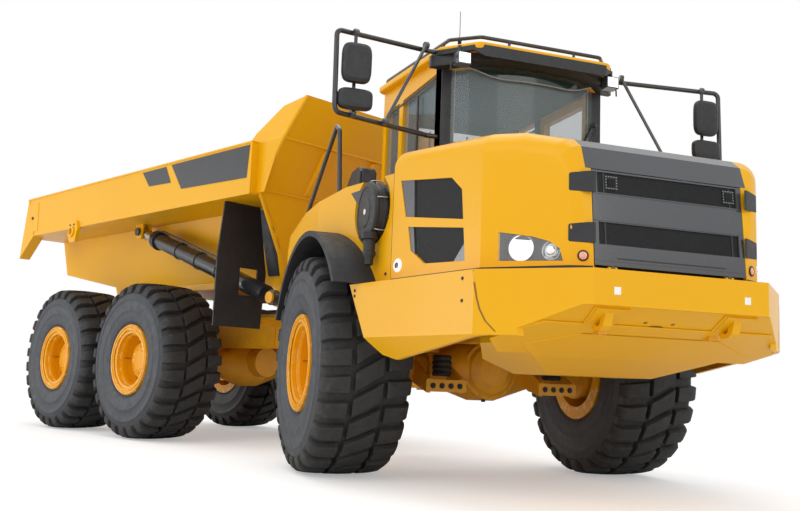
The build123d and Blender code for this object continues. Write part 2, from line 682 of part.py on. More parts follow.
SHOULDER_VIEW = [
    (HOOD_REAR_X - 10, BUMPER_TOP_Z + SEAT_GAP), (HOOD_REAR_X - 10, SHOULDER_Z), (500, 2330),
    (-400, 2250), (-900, 2100), (FENDER_REAR_X, 1950), (FENDER_REAR_X, 1500),
]
DECK_VIEW = [
    (HOOD_REAR_X - 10, BUMPER_TOP_Z + SEAT_GAP), (HOOD_REAR_X - 10, DECK_Z), (-860, DECK_Z),
    (FENDER_REAR_X, 1950), (FENDER_REAR_X, 1500),
]
FENDER_PLAN = [(HOOD_REAR_X - 10, 1330), (950, 1385), (0, 1560), (FENDER_REAR_X - 10, 1600)]

with BuildPart() as fenders:
    for side in SIDES.values():
        low, high = sorted((side * FENDER_INNER, side * 1700))
        with BuildPart(mode=Mode.PRIVATE) as fender:
            side_plate(DECK_VIEW if side > 0 else SHOULDER_VIEW, low, high)
            plan = [(x, side * y) for x, y in FENDER_PLAN]
            plan_plate(plan + [(FENDER_REAR_X - 10, 0), (HOOD_REAR_X - 10, 0)], 1400, 2600,
                       Mode.INTERSECT)
            drum_y(ARCH_CENTRE[0], ARCH_CENTRE[1], ARCH_RADIUS, low - 10, high + 10,
                   Mode.SUBTRACT)
            if side < 0:
                drum_y(AIR_CLEANER[0], AIR_CLEANER[1], AIR_CLEANER_RADIUS + 50, -2000,
                       -AIR_CLEANER_INNER, Mode.SUBTRACT)
        add(fender.part)
save(fenders, "fenders")

with BuildPart() as arch_flares:
    for side in SIDES.values():
        low, high = sorted((side * 1100, side * FLARE_HALF))
        drum_y(ARCH_CENTRE[0], ARCH_CENTRE[1], ARCH_RADIUS - SEAT_GAP, low, high)
    drum_y(ARCH_CENTRE[0], ARCH_CENTRE[1], ARCH_RADIUS - FLARE_THICKNESS, -2000, 2000,
           Mode.SUBTRACT)
    block((-1400, 1500), (-2000, 2000), (-400, 1300), Mode.SUBTRACT)
    block((700, 1500), (-2000, 2000), (1200, BUMPER_TOP_Z + 5), Mode.SUBTRACT)
save(arch_flares, "arch_flares")


# Cab


def cab_outline(inset, z_low, z_high, mode=Mode.ADD):
    """The cab's plan, with its curved front, pulled in by inset."""
    half = CAB_HALF - inset
    with BuildSketch(Plane.XY.offset(z_low)) as profile:
        with BuildLine():
            Polyline(
                (CAB_CORNER_X - inset, -CAB_CORNER_HALF + inset * 0.4),
                (CAB_SIDE_FRONT_X - inset * 0.4, -half), (CAB_REAR_X + inset, -half),
                (CAB_REAR_X + inset, half), (CAB_SIDE_FRONT_X - inset * 0.4, half),
                (CAB_CORNER_X - inset, CAB_CORNER_HALF - inset * 0.4),
            )
            ThreePointArc(
                (CAB_CORNER_X - inset, CAB_CORNER_HALF - inset * 0.4),
                (CAB_NOSE_X - inset, 0),
                (CAB_CORNER_X - inset, -CAB_CORNER_HALF + inset * 0.4),
            )
        make_face()
    extrude(profile.sketch, amount=z_high - z_low, mode=mode)


# Cover between the hood and the windscreen
with BuildPart() as cowl:
    section = [(760, DECK_Z + SEAT_GAP), (1180, DECK_Z + SEAT_GAP), (1180, 2310), (1050, 2420),
               (600, COWL_TOP_Z)]
    cross_plate(mirrored_section(section), 700, HOOD_REAR_X - RUN_GAP)
    cab_outline(-SEAT_GAP, 1900, 2600, Mode.SUBTRACT)
    inner = [(730, 2000), (1150, 2000), (1150, 2295), (1035, 2390), (600, COWL_TOP_Z - 30)]
    cross_plate(mirrored_section(inner), CAB_NOSE_X + 40, HOOD_REAR_X, Mode.SUBTRACT)
    shoulder = [(x, z + SEAT_GAP) for x, z in SHOULDER_VIEW[1:4]]
    side_plate([(HOOD_REAR_X + 10, 1900), (HOOD_REAR_X + 10, shoulder[0][1])] + shoulder
               + [(-400, 1900)], -1700, -FENDER_INNER + SEAT_GAP, Mode.SUBTRACT)
    for side in SIDES.values():
        low, high = sorted((side * (HOOD_HINGE_Y[0] - 20), side * (HOOD_HINGE_Y[1] + 20)))
        drum_y(HOOD_REAR_X, HOOD_HINGE_Z, HINGE_PIN_RADIUS, low, high)
        for inner in (HOOD_HINGE_Y[0] - 20, HOOD_HINGE_Y[1] + 5):
            low, high = sorted((side * inner, side * (inner + 15)))
            drum_y(HOOD_REAR_X, HOOD_HINGE_Z, HINGE_KNUCKLE_RADIUS, low, high)
            block((HOOD_REAR_X - 70, HOOD_REAR_X - RUN_GAP), (low, high),
                  (COWL_TOP_Z - 30, HOOD_HINGE_Z + 12))
save(cowl, "cowl")

SIDE_WINDOWS = (
    # rear x, front x
    (CAB_REAR_X + CAB_PILLAR, DOOR_REAR_X - CAB_PILLAR),
    (DOOR_REAR_X + DOOR_GAP, CAB_SIDE_FRONT_X - 60),
)

SCREEN_X = CAB_SIDE_FRONT_X + 30


def roof_z(x):
    """Height of the roof's top at a place along the truck."""
    return ROOF_TOP_Z - ROOF_SLOPE * (x - CAB_REAR_X + ROOF_OVERHANG)


def roof_view(low, high):
    """Side view of the space from low to high over the roof's sloping top."""
    ends = (CAB_REAR_X - 200, VISOR_X + 100)
    return [(ends[0], roof_z(ends[0]) + low), (ends[1], roof_z(ends[1]) + low),
            (ends[1], roof_z(ends[1]) + high), (ends[0], roof_z(ends[0]) + high)]


with BuildPart() as cab_shell:
    cab_outline(0, CAB_FLOOR_Z, ROOF_TOP_Z)
    cab_outline(CAB_WALL, CAB_FLOOR_Z + CAB_WALL, CAB_CEILING_Z, Mode.SUBTRACT)
    side_plate(roof_view(-ROOF_THICKNESS - SEAT_GAP, 400), -1000, 1000, Mode.SUBTRACT)
    for back, front in SIDE_WINDOWS:
        block((back, front), (-CAB_HALF - 10, CAB_HALF + 10), (CAB_SILL_Z, CAB_HEAD_Z),
              Mode.SUBTRACT)
    block((SCREEN_X, 1100), (-CAB_HALF - 10, CAB_HALF + 10), (CAB_SILL_Z, CAB_HEAD_Z),
          Mode.SUBTRACT)
    block((CAB_REAR_X - 10, CAB_REAR_X + CAB_WALL + 10), (-CAB_HALF + 120, CAB_HALF - 120),
          (CAB_SILL_Z, CAB_HEAD_Z), Mode.SUBTRACT)
    block((DOOR_REAR_X, DOOR_FRONT_X), (CAB_HALF - CAB_WALL - 10, CAB_HALF + 10),
          (DOOR_LOW_Z, CAB_HEAD_Z), Mode.SUBTRACT)
    for z in DOOR_HINGE_Z:
        drum_z(DOOR_HINGE_X, DOOR_HINGE_Y, DOOR_PIN_RADIUS, z - 60, z + 60)
        for low in (z - 60, z + 40):
            block((DOOR_HINGE_X - 60, DOOR_REAR_X), (CAB_HALF - 10, DOOR_HINGE_Y + 14),
                  (low, low + 20))
            block((DOOR_REAR_X - 1, DOOR_HINGE_X + 14), (CAB_HALF + RUN_GAP, DOOR_HINGE_Y + 14),
                  (low, low + 20))
save(cab_shell, "cab_shell")

with BuildPart() as cab_roof:
    roof_plan = [(CAB_REAR_X - ROOF_OVERHANG, 700), (CAB_REAR_X, CAB_HALF + ROOF_OVERHANG),
                 (800, CAB_HALF + ROOF_OVERHANG), (VISOR_X, VISOR_HALF)]
    plan_plate(both_sides(roof_plan), CAB_HEAD_Z, ROOF_TOP_Z + 10)
    fillet(cab_roof.edges().filter_by(Axis.Z), radius=90)
    side_plate(roof_view(-ROOF_THICKNESS, 0), -1000, 1000, Mode.INTERSECT)
    fillet(cab_roof.faces().sort_by(Axis.Z)[-1].edges(), radius=22)
save(cab_roof, "cab_roof")

with BuildPart() as visor:
    cab_outline(-VISOR_REACH, CAB_HEAD_Z, ROOF_TOP_Z)
    cab_outline(-SEAT_GAP, CAB_HEAD_Z - 10, ROOF_TOP_Z + 10, Mode.SUBTRACT)
    side_plate(roof_view(-ROOF_THICKNESS - SEAT_GAP, 400), -1000, 1000, Mode.SUBTRACT)
    block((CAB_REAR_X - 400, CAB_SIDE_FRONT_X), (-1000, 1000), (CAB_HEAD_Z - 10, ROOF_TOP_Z + 10),
          Mode.SUBTRACT)
    side_plate([(CAB_NOSE_X - 100, CAB_HEAD_Z - 10), (VISOR_X + 50, CAB_HEAD_Z - 10),
                (VISOR_X + 50, CAB_HEAD_Z + 100), (CAB_NOSE_X, CAB_HEAD_Z + 8)],
               -1000, 1000, Mode.SUBTRACT)
    for side in SIDES.values():
        low, high = sorted((side * (WORK_LAMP[1] - 68), side * 1000))
        block((WORK_LAMP[0] - 110, VISOR_X + 50), (low, high), (CAB_HEAD_Z - 10, ROOF_TOP_Z + 10),
              Mode.SUBTRACT)
save(visor, "visor")

with BuildPart() as cab_glass:
    inset = CAB_WALL / 2
    low, high = CAB_SILL_Z + SEAT_GAP, CAB_HEAD_Z - SEAT_GAP
    cab_outline(inset - GLASS / 2, low, high)
    cab_outline(inset + GLASS / 2, low, high, Mode.SUBTRACT)
    block((SIDE_WINDOWS[1][1] - SEAT_GAP, SCREEN_X + SEAT_GAP), (-CAB_HALF, CAB_HALF), (low, high),
          Mode.SUBTRACT)
    block((SIDE_WINDOWS[0][1] - SEAT_GAP, SIDE_WINDOWS[1][0] + SEAT_GAP), (-CAB_HALF, CAB_HALF),
          (low, high), Mode.SUBTRACT)
    for side in SIDES.values():
        inner, outer = sorted((side * (CAB_HALF - 120 - SEAT_GAP), side * CAB_HALF))
        block((CAB_REAR_X - 10, CAB_REAR_X + CAB_PILLAR + SEAT_GAP), (inner, outer), (low, high),
              Mode.SUBTRACT)
    block((DOOR_REAR_X - 50, SCREEN_X - 10), (0, CAB_HALF), (low, high), Mode.SUBTRACT)
save(cab_glass, "cab_glass")

with BuildPart() as door:
    block((DOOR_REAR_X + DOOR_GAP, DOOR_FRONT_X - DOOR_GAP), (CAB_HALF - CAB_WALL, CAB_HALF),
          (DOOR_LOW_Z + DOOR_GAP, CAB_HEAD_Z - DOOR_GAP))
    block((DOOR_REAR_X + 70, DOOR_FRONT_X - 70), (CAB_HALF - CAB_WALL - 10, CAB_HALF + 10),
          (CAB_SILL_Z - 300, CAB_HEAD_Z - 70), Mode.SUBTRACT)
    for z in DOOR_HINGE_Z:
        low, high = z - 40 + RUN_GAP, z + 40 - RUN_GAP
        drum_z(DOOR_HINGE_X, DOOR_HINGE_Y, 20, low, high)
        block((DOOR_HINGE_X, DOOR_REAR_X + 60), (CAB_HALF + RUN_GAP, DOOR_HINGE_Y + 14), (low, high))
        block((DOOR_REAR_X + 20, DOOR_REAR_X + 60), (CAB_HALF - 10, DOOR_HINGE_Y), (low, high))
        drum_z(DOOR_HINGE_X, DOOR_HINGE_Y, DOOR_PIN_RADIUS + SHAFT_GAP, low, high, Mode.SUBTRACT)
save(door, "door")

with BuildPart() as door_glass:
    block((DOOR_REAR_X + 70 + SEAT_GAP, DOOR_FRONT_X - 70 - SEAT_GAP),
          (CAB_HALF - CAB_WALL / 2 - GLASS / 2, CAB_HALF - CAB_WALL / 2 + GLASS / 2),
          (CAB_SILL_Z - 300 + SEAT_GAP, CAB_HEAD_Z - 70 - SEAT_GAP))
save(door_glass, "door_glass")

with BuildPart() as seat:
    floor = CAB_FLOOR_Z + CAB_WALL + SEAT_GAP
    back_top = floor + (CAB_HEAD_Z - floor) * 0.7
    block((-330, 60), (-200, 200), (floor, floor + 350))
    block((-380, 150), (-260, 260), (floor + 350, floor + 480))
    side_plate([(-380, floor + 480), (-260, floor + 480), (-330, back_top),
                (-440, back_top)], -250, 250)
save(seat, "seat")

with BuildPart() as console:
    floor = CAB_FLOOR_Z + CAB_WALL + SEAT_GAP
    side_plate([(620, floor), (780, floor), (780, 2540), (560, 2560), (600, 2420)], -480, 480)
    with BuildSketch(Plane(origin=(430, 0, 2520), z_dir=(-0.5, 0, 1))):
        Circle(225)
        Circle(195, mode=Mode.SUBTRACT)
        Rectangle(400, 30)
    extrude(amount=25)
    with BuildSketch(Plane(origin=(430, 0, 2520), z_dir=(0.5, 0, -1))) as column:
        Circle(28)
    extrude(column.sketch, amount=160)
    block((470, 640), (-40, 40), (2375, 2440))
save(console, "console")


# Air cleaner, mirrors, rails, lamps and ladder

with BuildPart() as air_cleaner:
    with BuildSketch(Plane.XZ.offset(AIR_CLEANER_INNER + SEAT_GAP)):
        with Locations(AIR_CLEANER):
            Circle(AIR_CLEANER_RADIUS)
    extrude(amount=250)
save(air_cleaner, "air_cleaner")

MIRRORS = (
    # low z, high z, half width
    (2930.0, 3290.0, 105.0),
    (2800.0, 2900.0, 130.0),
)
MIRROR_TUBE = (1040.0, 1600.0)

with BuildPart() as mirror_arms:
    top = roof_z(740) - ROOF_THICKNESS / 2
    for side in SIDES.values():
        tube([(740, side * (CAB_HALF + ROOF_OVERHANG + SEAT_GAP), top), (740, side * 900, top),
              (1061, side * 1758, 3422), (1082, side * 1754, 2771), (680, side * 860, 2800),
              (680, side * (CAB_HALF + SEAT_GAP), 2800)], 20, 50)
        drum_z(MIRROR_TUBE[0], side * MIRROR_TUBE[1], 14, 2770, 3440)
save(mirror_arms, "mirror_arms")

with BuildPart() as mirrors:
    for side in SIDES.values():
        for low, high, half in MIRRORS:
            back = MIRROR_TUBE[0] + 14 + SEAT_GAP
            edges = [(back, side * (MIRROR_TUBE[1] - half)),
                     (back + 55, side * (MIRROR_TUBE[1] - half + 20)),
                     (back + 55, side * (MIRROR_TUBE[1] + half - 20)),
                     (back, side * (MIRROR_TUBE[1] + half))]
            plan_plate(edges, low, high)
save(mirrors, "mirrors")

with BuildPart() as handrails:
    rear, middle, front = roof_z(-780) + 70, roof_z(820) + 65, roof_z(1051) + 60
    tube([(-780, 735, ROOF_TOP_Z - 90), (-780, 735, rear), (820, 735, middle),
          (1051, 551, front), (1051, -551, front), (820, -735, middle), (-780, -735, rear),
          (-780, -735, ROOF_TOP_Z - 90)], 16, 50)
    for side in SIDES.values():
        for x in (20, 700):
            drum_z(x, side * 735, 12, roof_z(x) - 20, roof_z(x) + 66)
        drum_z(1051, side * 300, 12, roof_z(1051) - 20, front)
    side_plate(roof_view(-400, SEAT_GAP), -800, 800, Mode.SUBTRACT)
    tube([(-860, -1450, 2040), (-900, -1450, 2300), (60, -1450, 2960), (150, -1450, 2900),
          (250, -1450, 2250)], 20, 40)
    shoulder = [(x, z + SEAT_GAP) for x, z in SHOULDER_VIEW[1:5]]
    side_plate(shoulder + [(-900, 1900), (HOOD_REAR_X - 10, 1900)], -1600, -1300, Mode.SUBTRACT)
save(handrails, "handrails")

with BuildPart() as work_lamps:
    for side in SIDES.values():
        low, high = sorted((side * (WORK_LAMP[1] - 60), side * (WORK_LAMP[1] + 60)))
        block((WORK_LAMP[0] - 40, WORK_LAMP[0] + 35), (low, high),
              (WORK_LAMP[2] - 50, WORK_LAMP[2] + 50))
        low, high = sorted((side * (WORK_LAMP[1] - 20), side * (WORK_LAMP[1] + 20)))
        block((WORK_LAMP[0] - 60, WORK_LAMP[0]), (low, high), (WORK_LAMP[2] + 40, ROOF_TOP_Z))
    side_plate(roof_view(-ROOF_THICKNESS - SEAT_GAP, 400), -1000, 1000, Mode.SUBTRACT)
save(work_lamps, "work_lamps")


# Hitch

with BuildPart() as hitch:
    low = PIVOT_LOW_Z + EAR_PLATE + RUN_GAP
    high = PIVOT_HIGH_Z - EAR_PLATE - RUN_GAP
    drum_z(PIVOT_X, 0, KNUCKLE_RADIUS, low, high)
    drum_x(0, ROLL_AXIS_Z, ROLL_TUBE_RADIUS, HITCH_TUBE_END_X, PIVOT_X - 210)
    drum_x(0, ROLL_AXIS_Z, ROLL_TUBE_RADIUS + 45, LOAD_FRAME_FRONT_X + RUN_GAP,
           LOAD_FRAME_FRONT_X + 60)
    block((PIVOT_X - 260, PIVOT_X), (-KNUCKLE_RADIUS, KNUCKLE_RADIUS),
          (ROLL_AXIS_Z - 180, ROLL_AXIS_Z + 180))
    reach_x = STEER_EYE_REACH * math.cos(math.radians(STEER_EYE_ANGLE))
    reach_y = STEER_EYE_REACH * math.sin(math.radians(STEER_EYE_ANGLE))
    for z in STEER_CLEVIS_Z:
        plan_plate(both_sides([(PIVOT_X - 260, 140), (PIVOT_X - 110, reach_y + 70),
                               (PIVOT_X + reach_x + 40, reach_y + 70),
                               (PIVOT_X + 40, 140)]), z, z + CLEVIS_PLATE)
    drum_z(PIVOT_X, 0, PIN_RADIUS + SHAFT_GAP, PIVOT_LOW_Z, PIVOT_HIGH_Z, Mode.SUBTRACT)
save(hitch, "hitch", LOAD_UNIT)


# Load unit's frame

FLAP_X = -2860.0
FLAP_THICKNESS = 20.0
FLAP_VIEW = [
    (1600.0, BODY_RAIL_LOW_Z - RUN_GAP), (1657.0, 2000.0), (1657.0, 1277.0), (1063.0, 1277.0),
    (1025.0, 1876.0), (1150.0, BODY_RAIL_LOW_Z - RUN_GAP),
]
FLAP_SLOT_Y = (1135.0, 1365.0)
FLAP_SLOT_Z = (1620.0, 1910.0)
LOAD_RAIL_LOW_Z = 1100.0
LOAD_RAIL_TOP_Z = 1500.0

with BuildPart() as load_frame:
    for side in SIDES.values():
        low, high = sorted((side * 330, side * 430))
        side_plate([(LOAD_FRAME_FRONT_X, 900), (LOAD_FRAME_FRONT_X, 1330), (-2600, LOAD_RAIL_TOP_Z),
                    (-6600, LOAD_RAIL_TOP_Z), (DUMP_PIVOT_X - 20, DUMP_PIVOT_Z + 70),
                    (DUMP_PIVOT_X - 90, DUMP_PIVOT_Z + 70), (DUMP_PIVOT_X - 90, 1480),
                    (-6700, LOAD_RAIL_LOW_Z), (-2600, LOAD_RAIL_LOW_Z)], low, high)
    block((LOAD_FRAME_FRONT_X - 120, LOAD_FRAME_FRONT_X), (-430, 430), (800, 1330))
    drum_x(0, ROLL_AXIS_Z, ROLL_TUBE_RADIUS + 40, LOAD_FRAME_FRONT_X - 140, LOAD_FRAME_FRONT_X)
    drum_x(0, ROLL_AXIS_Z, ROLL_TUBE_RADIUS + SHAFT_GAP, HITCH_TUBE_END_X - RUN_GAP,
           LOAD_FRAME_FRONT_X, Mode.SUBTRACT)
    for x in (-3300, -5485, -6750):
        block((x - 80, x + 80), (-430, 430), (1180, 1400))
    foot_x, foot_y, foot_z = HOIST_FOOT
    inner_y = foot_y - EYE_THICKNESS / 2 - CLEVIS_GAP
    outer_y = foot_y + EYE_THICKNESS / 2 + CLEVIS_GAP
    for side in SIDES.values():
        low, high = sorted((side * 330, side * 430))
        side_plate([(foot_x - 140, 1400), (foot_x + 140, 1350), (foot_x + 60, foot_z + 60),
                    (foot_x - 60, foot_z + 60)], low, high)
        low, high = sorted((side * 330, side * inner_y))
        drum_y(foot_x, foot_z, 90, low, high)
        low, high = sorted((side * inner_y, side * outer_y))
        drum_y(foot_x, foot_z, FOOT_PIN_RADIUS, low, high)
        low, high = sorted((side * outer_y, side * (outer_y + CLEVIS_PLATE)))
        drum_y(foot_x, foot_z, 60, low, high)
        low, high = sorted((side * 400, side * 620))
        drum_y(DUMP_PIVOT_X, DUMP_PIVOT_Z, DUMP_PIN_RADIUS, low, high)
        low, high = sorted((side * 330, side * 1600))
        block((FLAP_X - 60, FLAP_X - SEAT_GAP), (low, high), (1320, 1380))
        low, high = sorted((side * 1480, side * 1530))
        block((FLAP_X - 40, FLAP_X - SEAT_GAP), (low, high), (1320, 2450))
save(load_frame, "load_frame", LOAD_UNIT)

with BuildPart() as bogie_beams:
    mid = (BOGIE_FRONT_X + BOGIE_REAR_X) / 2
    for side in SIDES.values():
        low, high = sorted((side * 560, side * 720))
        side_plate([(BOGIE_FRONT_X + 160, 1045), (BOGIE_FRONT_X + 160, 1150), (mid, 1300),
                    (BOGIE_REAR_X - 160, 1150), (BOGIE_REAR_X - 160, 1045)], low, high)
        low, high = sorted((side * (430 + SEAT_GAP), side * 560))
        drum_y(mid, 1250, 110, low, high)
save(bogie_beams, "bogie_beams", LOAD_UNIT)


# Load body

TAIL_EYE_VIEW = [
    (-6205, 2680), (-6065, 2680), (-6010, 2570), (-6065, 2400), (-6215, 2400), (-6280, 2510),
]
BODY_SIDE = [
    (-2560, BELLY_Z), (-2260, 2640), (-1900, BODY_RAIL_TOP_Z), (-1745, BODY_TOP_Z), (-2100, 3520),
    (-2420, 3260), (-2500, BODY_RAIL_TOP_Z), (-7690, BODY_RAIL_TOP_Z), (TAIL_X, 2140),
    (-5900, 1810), (-3400, 1760), (-3000, BELLY_Z),
]
BODY_SECTION = [
    (BELLY_HALF, 1600), (BELLY_HALF, BELLY_FOLD_Z), (WALL_TOP_HALF, BODY_RAIL_LOW_Z),
    (FRONT_HALF, BODY_RAIL_LOW_Z), (FRONT_HALF, BODY_RAIL_TOP_Z), (TOP_HALF, BODY_TOP_Z + 30),
]
SPACE_SIDE = [
    (-2610, BELLY_Z + BODY_PLATE), (-2310, 2640), (-1950, BODY_RAIL_TOP_Z), (-1790, 3700),
    (-8000, 3700), (-8000, 2200), (TAIL_X, 2170), (-5900, 1840), (-3400, 1790),
    (-3000, BELLY_Z + BODY_PLATE),
]
SPACE_SECTION = [
    (BELLY_HALF - BODY_PLATE, 1600), (BELLY_HALF - BODY_PLATE, BELLY_FOLD_Z),
    (WALL_TOP_HALF - BODY_PLATE, BODY_RAIL_LOW_Z + BODY_PLATE),
    (FRONT_HALF - BODY_PLATE, BODY_RAIL_LOW_Z + BODY_PLATE),
    (FRONT_HALF - BODY_PLATE, BODY_RAIL_TOP_Z), (TOP_HALF - BODY_PLATE, BODY_TOP_Z + 50),
]
FRONT_WALL_SIDE = [(-2550, 1750), (-2260, 2640), (-2320, 2640), (-2610, 1750)]
FRONT_WALL_SECTION = [(980, 1740), (1250, 2300), (FRONT_HALF, 2650)]


def trimmed_body(side_view, section, mode=Mode.ADD):
    """The volume that a side view and a section from behind have in common."""
    with BuildPart(mode=Mode.PRIVATE) as form:
        side_plate(side_view, -BODY_HALF, BODY_HALF)
        cross_plate(mirrored_section(section), -8200, -1200, Mode.INTERSECT)
    add(form.part, mode=mode)


with BuildPart() as dump_body:
    trimmed_body(BODY_SIDE, BODY_SECTION)
    for side in SIDES.values():
        low, high = sorted((side * 1540, side * BODY_HALF))
        side_plate([(RAIL_FRONT_X, BODY_RAIL_LOW_Z), (RAIL_FRONT_X, BODY_RAIL_TOP_Z),
                    (-7690, BODY_RAIL_TOP_Z), (TAIL_X, 2300), (-7430, BODY_RAIL_LOW_Z)],
                   low, high)
    trimmed_body(SPACE_SIDE, SPACE_SECTION, Mode.SUBTRACT)
    trimmed_body(FRONT_WALL_SIDE, FRONT_WALL_SECTION)
    for side in SIDES.values():
        low, high = sorted((side * (430 + RUN_GAP), side * 520))
        side_plate([(-6500, 1925), (DUMP_PIVOT_X + 90, DUMP_PIVOT_Z - 60),
                    (DUMP_PIVOT_X, DUMP_PIVOT_Z - 100), (DUMP_PIVOT_X - 90, DUMP_PIVOT_Z - 60),
                    (-7200, 2045)], low, high)
        drum_y(DUMP_PIVOT_X, DUMP_PIVOT_Z, DUMP_PIN_RADIUS + SHAFT_GAP, low, high,
               Mode.SUBTRACT)
        for offset in (-1, 1):
            middle = side * HOIST_EYE[1] + offset * (
                EYE_THICKNESS / 2 + CLEVIS_GAP + CLEVIS_PLATE / 2)
            side_plate([(HOIST_EYE[0] - 90, 2610), (HOIST_EYE[0] - 60, 2420),
                        (HOIST_EYE[0] + 60, 2420), (HOIST_EYE[0] + 90, 2610)],
                       middle - CLEVIS_PLATE / 2, middle + CLEVIS_PLATE / 2)
        low, high = sorted((side * (BODY_HALF - 10), side * (BODY_HALF + 35)))
        side_plate(TAIL_EYE_VIEW, low, high)
        drum_y(TAIL_EYE[0], TAIL_EYE[1], TAIL_EYE_RADIUS, low, high, Mode.SUBTRACT)
save(dump_body, "dump_body", LOAD_UNIT)

with BuildPart() as mudflaps:
    for side in SIDES.values():
        cross_plate([(side * y, z) for y, z in FLAP_VIEW], FLAP_X, FLAP_X + FLAP_THICKNESS)
        low, high = sorted((side * FLAP_SLOT_Y[0], side * FLAP_SLOT_Y[1]))
        block((FLAP_X - 10, FLAP_X + 30), (low, high), FLAP_SLOT_Z, Mode.SUBTRACT)
save(mudflaps, "mudflaps", LOAD_UNIT)


# Cylinders


def cylinder_run(foot, eye, side):
    """A cylinder's foot, its direction and its length, on one side of the truck."""
    start = Vector(foot[0], side * foot[1], foot[2])
    end = Vector(eye[0], side * eye[1], eye[2])
    return start, (end - start).normalized(), (end - start).length


def drum_along(start, direction, radius, low, high, mode=Mode.ADD):
    """A round drum along a cylinder's line, from low to high millimetres past its foot."""
    with BuildSketch(Plane(origin=start + direction * low, z_dir=direction)) as profile:
        Circle(radius)
    extrude(profile.sketch, amount=high - low, mode=mode)


def turned_eye(eye, turn_deg):
    """A steering cylinder's eye on the hitch once the hitch has turned."""
    turn = math.radians(turn_deg)
    return (PIVOT_X + eye * math.cos(turn), eye * math.sin(turn), STEER_CYLINDER_Z)


for name, side in SIDES.items():
    eye = turned_eye(STEER_EYE_REACH, side * STEER_AT_REST + STEER_EYE_ANGLE)
    foot = (PIVOT_X + STEER_FOOT[0], STEER_FOOT[1], STEER_CYLINDER_Z)
    start, direction, length = cylinder_run(foot, eye, side)
    low, high = STEER_CYLINDER_Z - EYE_THICKNESS / 2, STEER_CYLINDER_Z + EYE_THICKNESS / 2
    with BuildPart() as barrel:
        drum_z(start.X, start.Y, STEER_EYE_RADIUS, low, high)
        drum_along(start, direction, 30, 40, 100)
        drum_along(start, direction, STEER_BARREL_RADIUS, 90, STEER_BARREL_LENGTH)
        drum_z(start.X, start.Y, FOOT_PIN_RADIUS + SHAFT_GAP, low, high, Mode.SUBTRACT)
        drum_along(start, direction, STEER_ROD_RADIUS + SHAFT_GAP, 130,
                   STEER_BARREL_LENGTH + 10, Mode.SUBTRACT)
    save(barrel, f"steering_barrel_{name}")
    with BuildPart() as rod:
        drum_along(start, direction, STEER_ROD_RADIUS, length - 800, length - 20)
        drum_z(start.X + direction.X * length, start.Y + direction.Y * length,
               STEER_EYE_RADIUS, low, high)
    save(rod, f"steering_rod_{name}")

for name, side in SIDES.items():
    start, direction, length = cylinder_run(HOIST_FOOT, HOIST_EYE, side)
    foot_low, foot_high = start.Y - EYE_THICKNESS / 2, start.Y + EYE_THICKNESS / 2
    with BuildPart() as barrel:
        drum_y(start.X, start.Z, HOIST_EYE_RADIUS, foot_low, foot_high)
        drum_along(start, direction, 32, 60, 150)
        drum_along(start, direction, HOIST_BARREL_RADIUS, 130, length - HOIST_HEAD_CLEAR)
        drum_along(start, direction, HOIST_BARREL_RADIUS + 12, length - HOIST_HEAD_CLEAR - 70,
                   length - HOIST_HEAD_CLEAR)
        drum_y(start.X, start.Z, FOOT_PIN_RADIUS + SHAFT_GAP, foot_low, foot_high, Mode.SUBTRACT)
        drum_along(start, direction, HOIST_ROD_RADIUS + SHAFT_GAP, HOIST_ROD_START - 10,
                   length - HOIST_HEAD_CLEAR + 10, Mode.SUBTRACT)
    save(barrel, f"hoist_barrel_{name}", LOAD_UNIT)
    with BuildPart() as rod:
        drum_along(start, direction, HOIST_ROD_RADIUS, HOIST_ROD_START, length - 130)
        drum_along(start, direction, 32, length - 140, length - 20)
        eye_y = side * HOIST_EYE[1]
        drum_y(HOIST_EYE[0], HOIST_EYE[2], HOIST_EYE_RADIUS, eye_y - EYE_THICKNESS / 2,
               eye_y + EYE_THICKNESS / 2)
    save(rod, f"hoist_rod_{name}", LOAD_UNIT)
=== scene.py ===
import json
import math

import bmesh
import bpy
from mathutils import Matrix, Vector


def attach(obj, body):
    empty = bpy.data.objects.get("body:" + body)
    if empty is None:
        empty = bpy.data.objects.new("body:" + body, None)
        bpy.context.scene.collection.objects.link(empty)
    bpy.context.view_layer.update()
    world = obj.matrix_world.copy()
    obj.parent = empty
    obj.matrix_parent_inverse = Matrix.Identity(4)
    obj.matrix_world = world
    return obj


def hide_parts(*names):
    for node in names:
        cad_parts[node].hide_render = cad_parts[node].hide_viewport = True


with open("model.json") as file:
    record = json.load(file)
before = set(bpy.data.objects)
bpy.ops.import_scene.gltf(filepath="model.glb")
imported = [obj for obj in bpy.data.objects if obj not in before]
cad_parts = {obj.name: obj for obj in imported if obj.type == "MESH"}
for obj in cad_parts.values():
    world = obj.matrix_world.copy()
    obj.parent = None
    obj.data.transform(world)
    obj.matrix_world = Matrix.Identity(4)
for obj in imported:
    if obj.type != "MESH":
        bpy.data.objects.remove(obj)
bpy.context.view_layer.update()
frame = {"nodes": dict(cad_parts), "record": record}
nodes = frame["nodes"]

# Places of the two units, in metres. Both are drawn straight: X forward from the front axle,
# Y to the left and Z up. The load unit then turns about the steering pivot.
FRONT_AXLE = Vector((2.5139, 1.2441, 0))
PIVOT_X = -1.394
STEER_AT_REST = math.radians(25.3)
TRACTOR = Matrix.Translation(FRONT_AXLE)
LOAD_UNIT = (
    TRACTOR
    @ Matrix.Translation((PIVOT_X, 0, 0))
    @ Matrix.Rotation(STEER_AT_REST, 4, "Z")
    @ Matrix.Translation((-PIVOT_X, 0, 0))
)
SIDES = {"left": 1, "right": -1}


# Materials


def linear(hex_colour):
    """A colour written as rrggbb, as linear light."""
    parts = [int(hex_colour[i:i + 2], 16) / 255 for i in (0, 2, 4)]
    return [p / 12.92 if p <= 0.04045 else ((p + 0.055) / 1.055) ** 2.4 for p in parts]


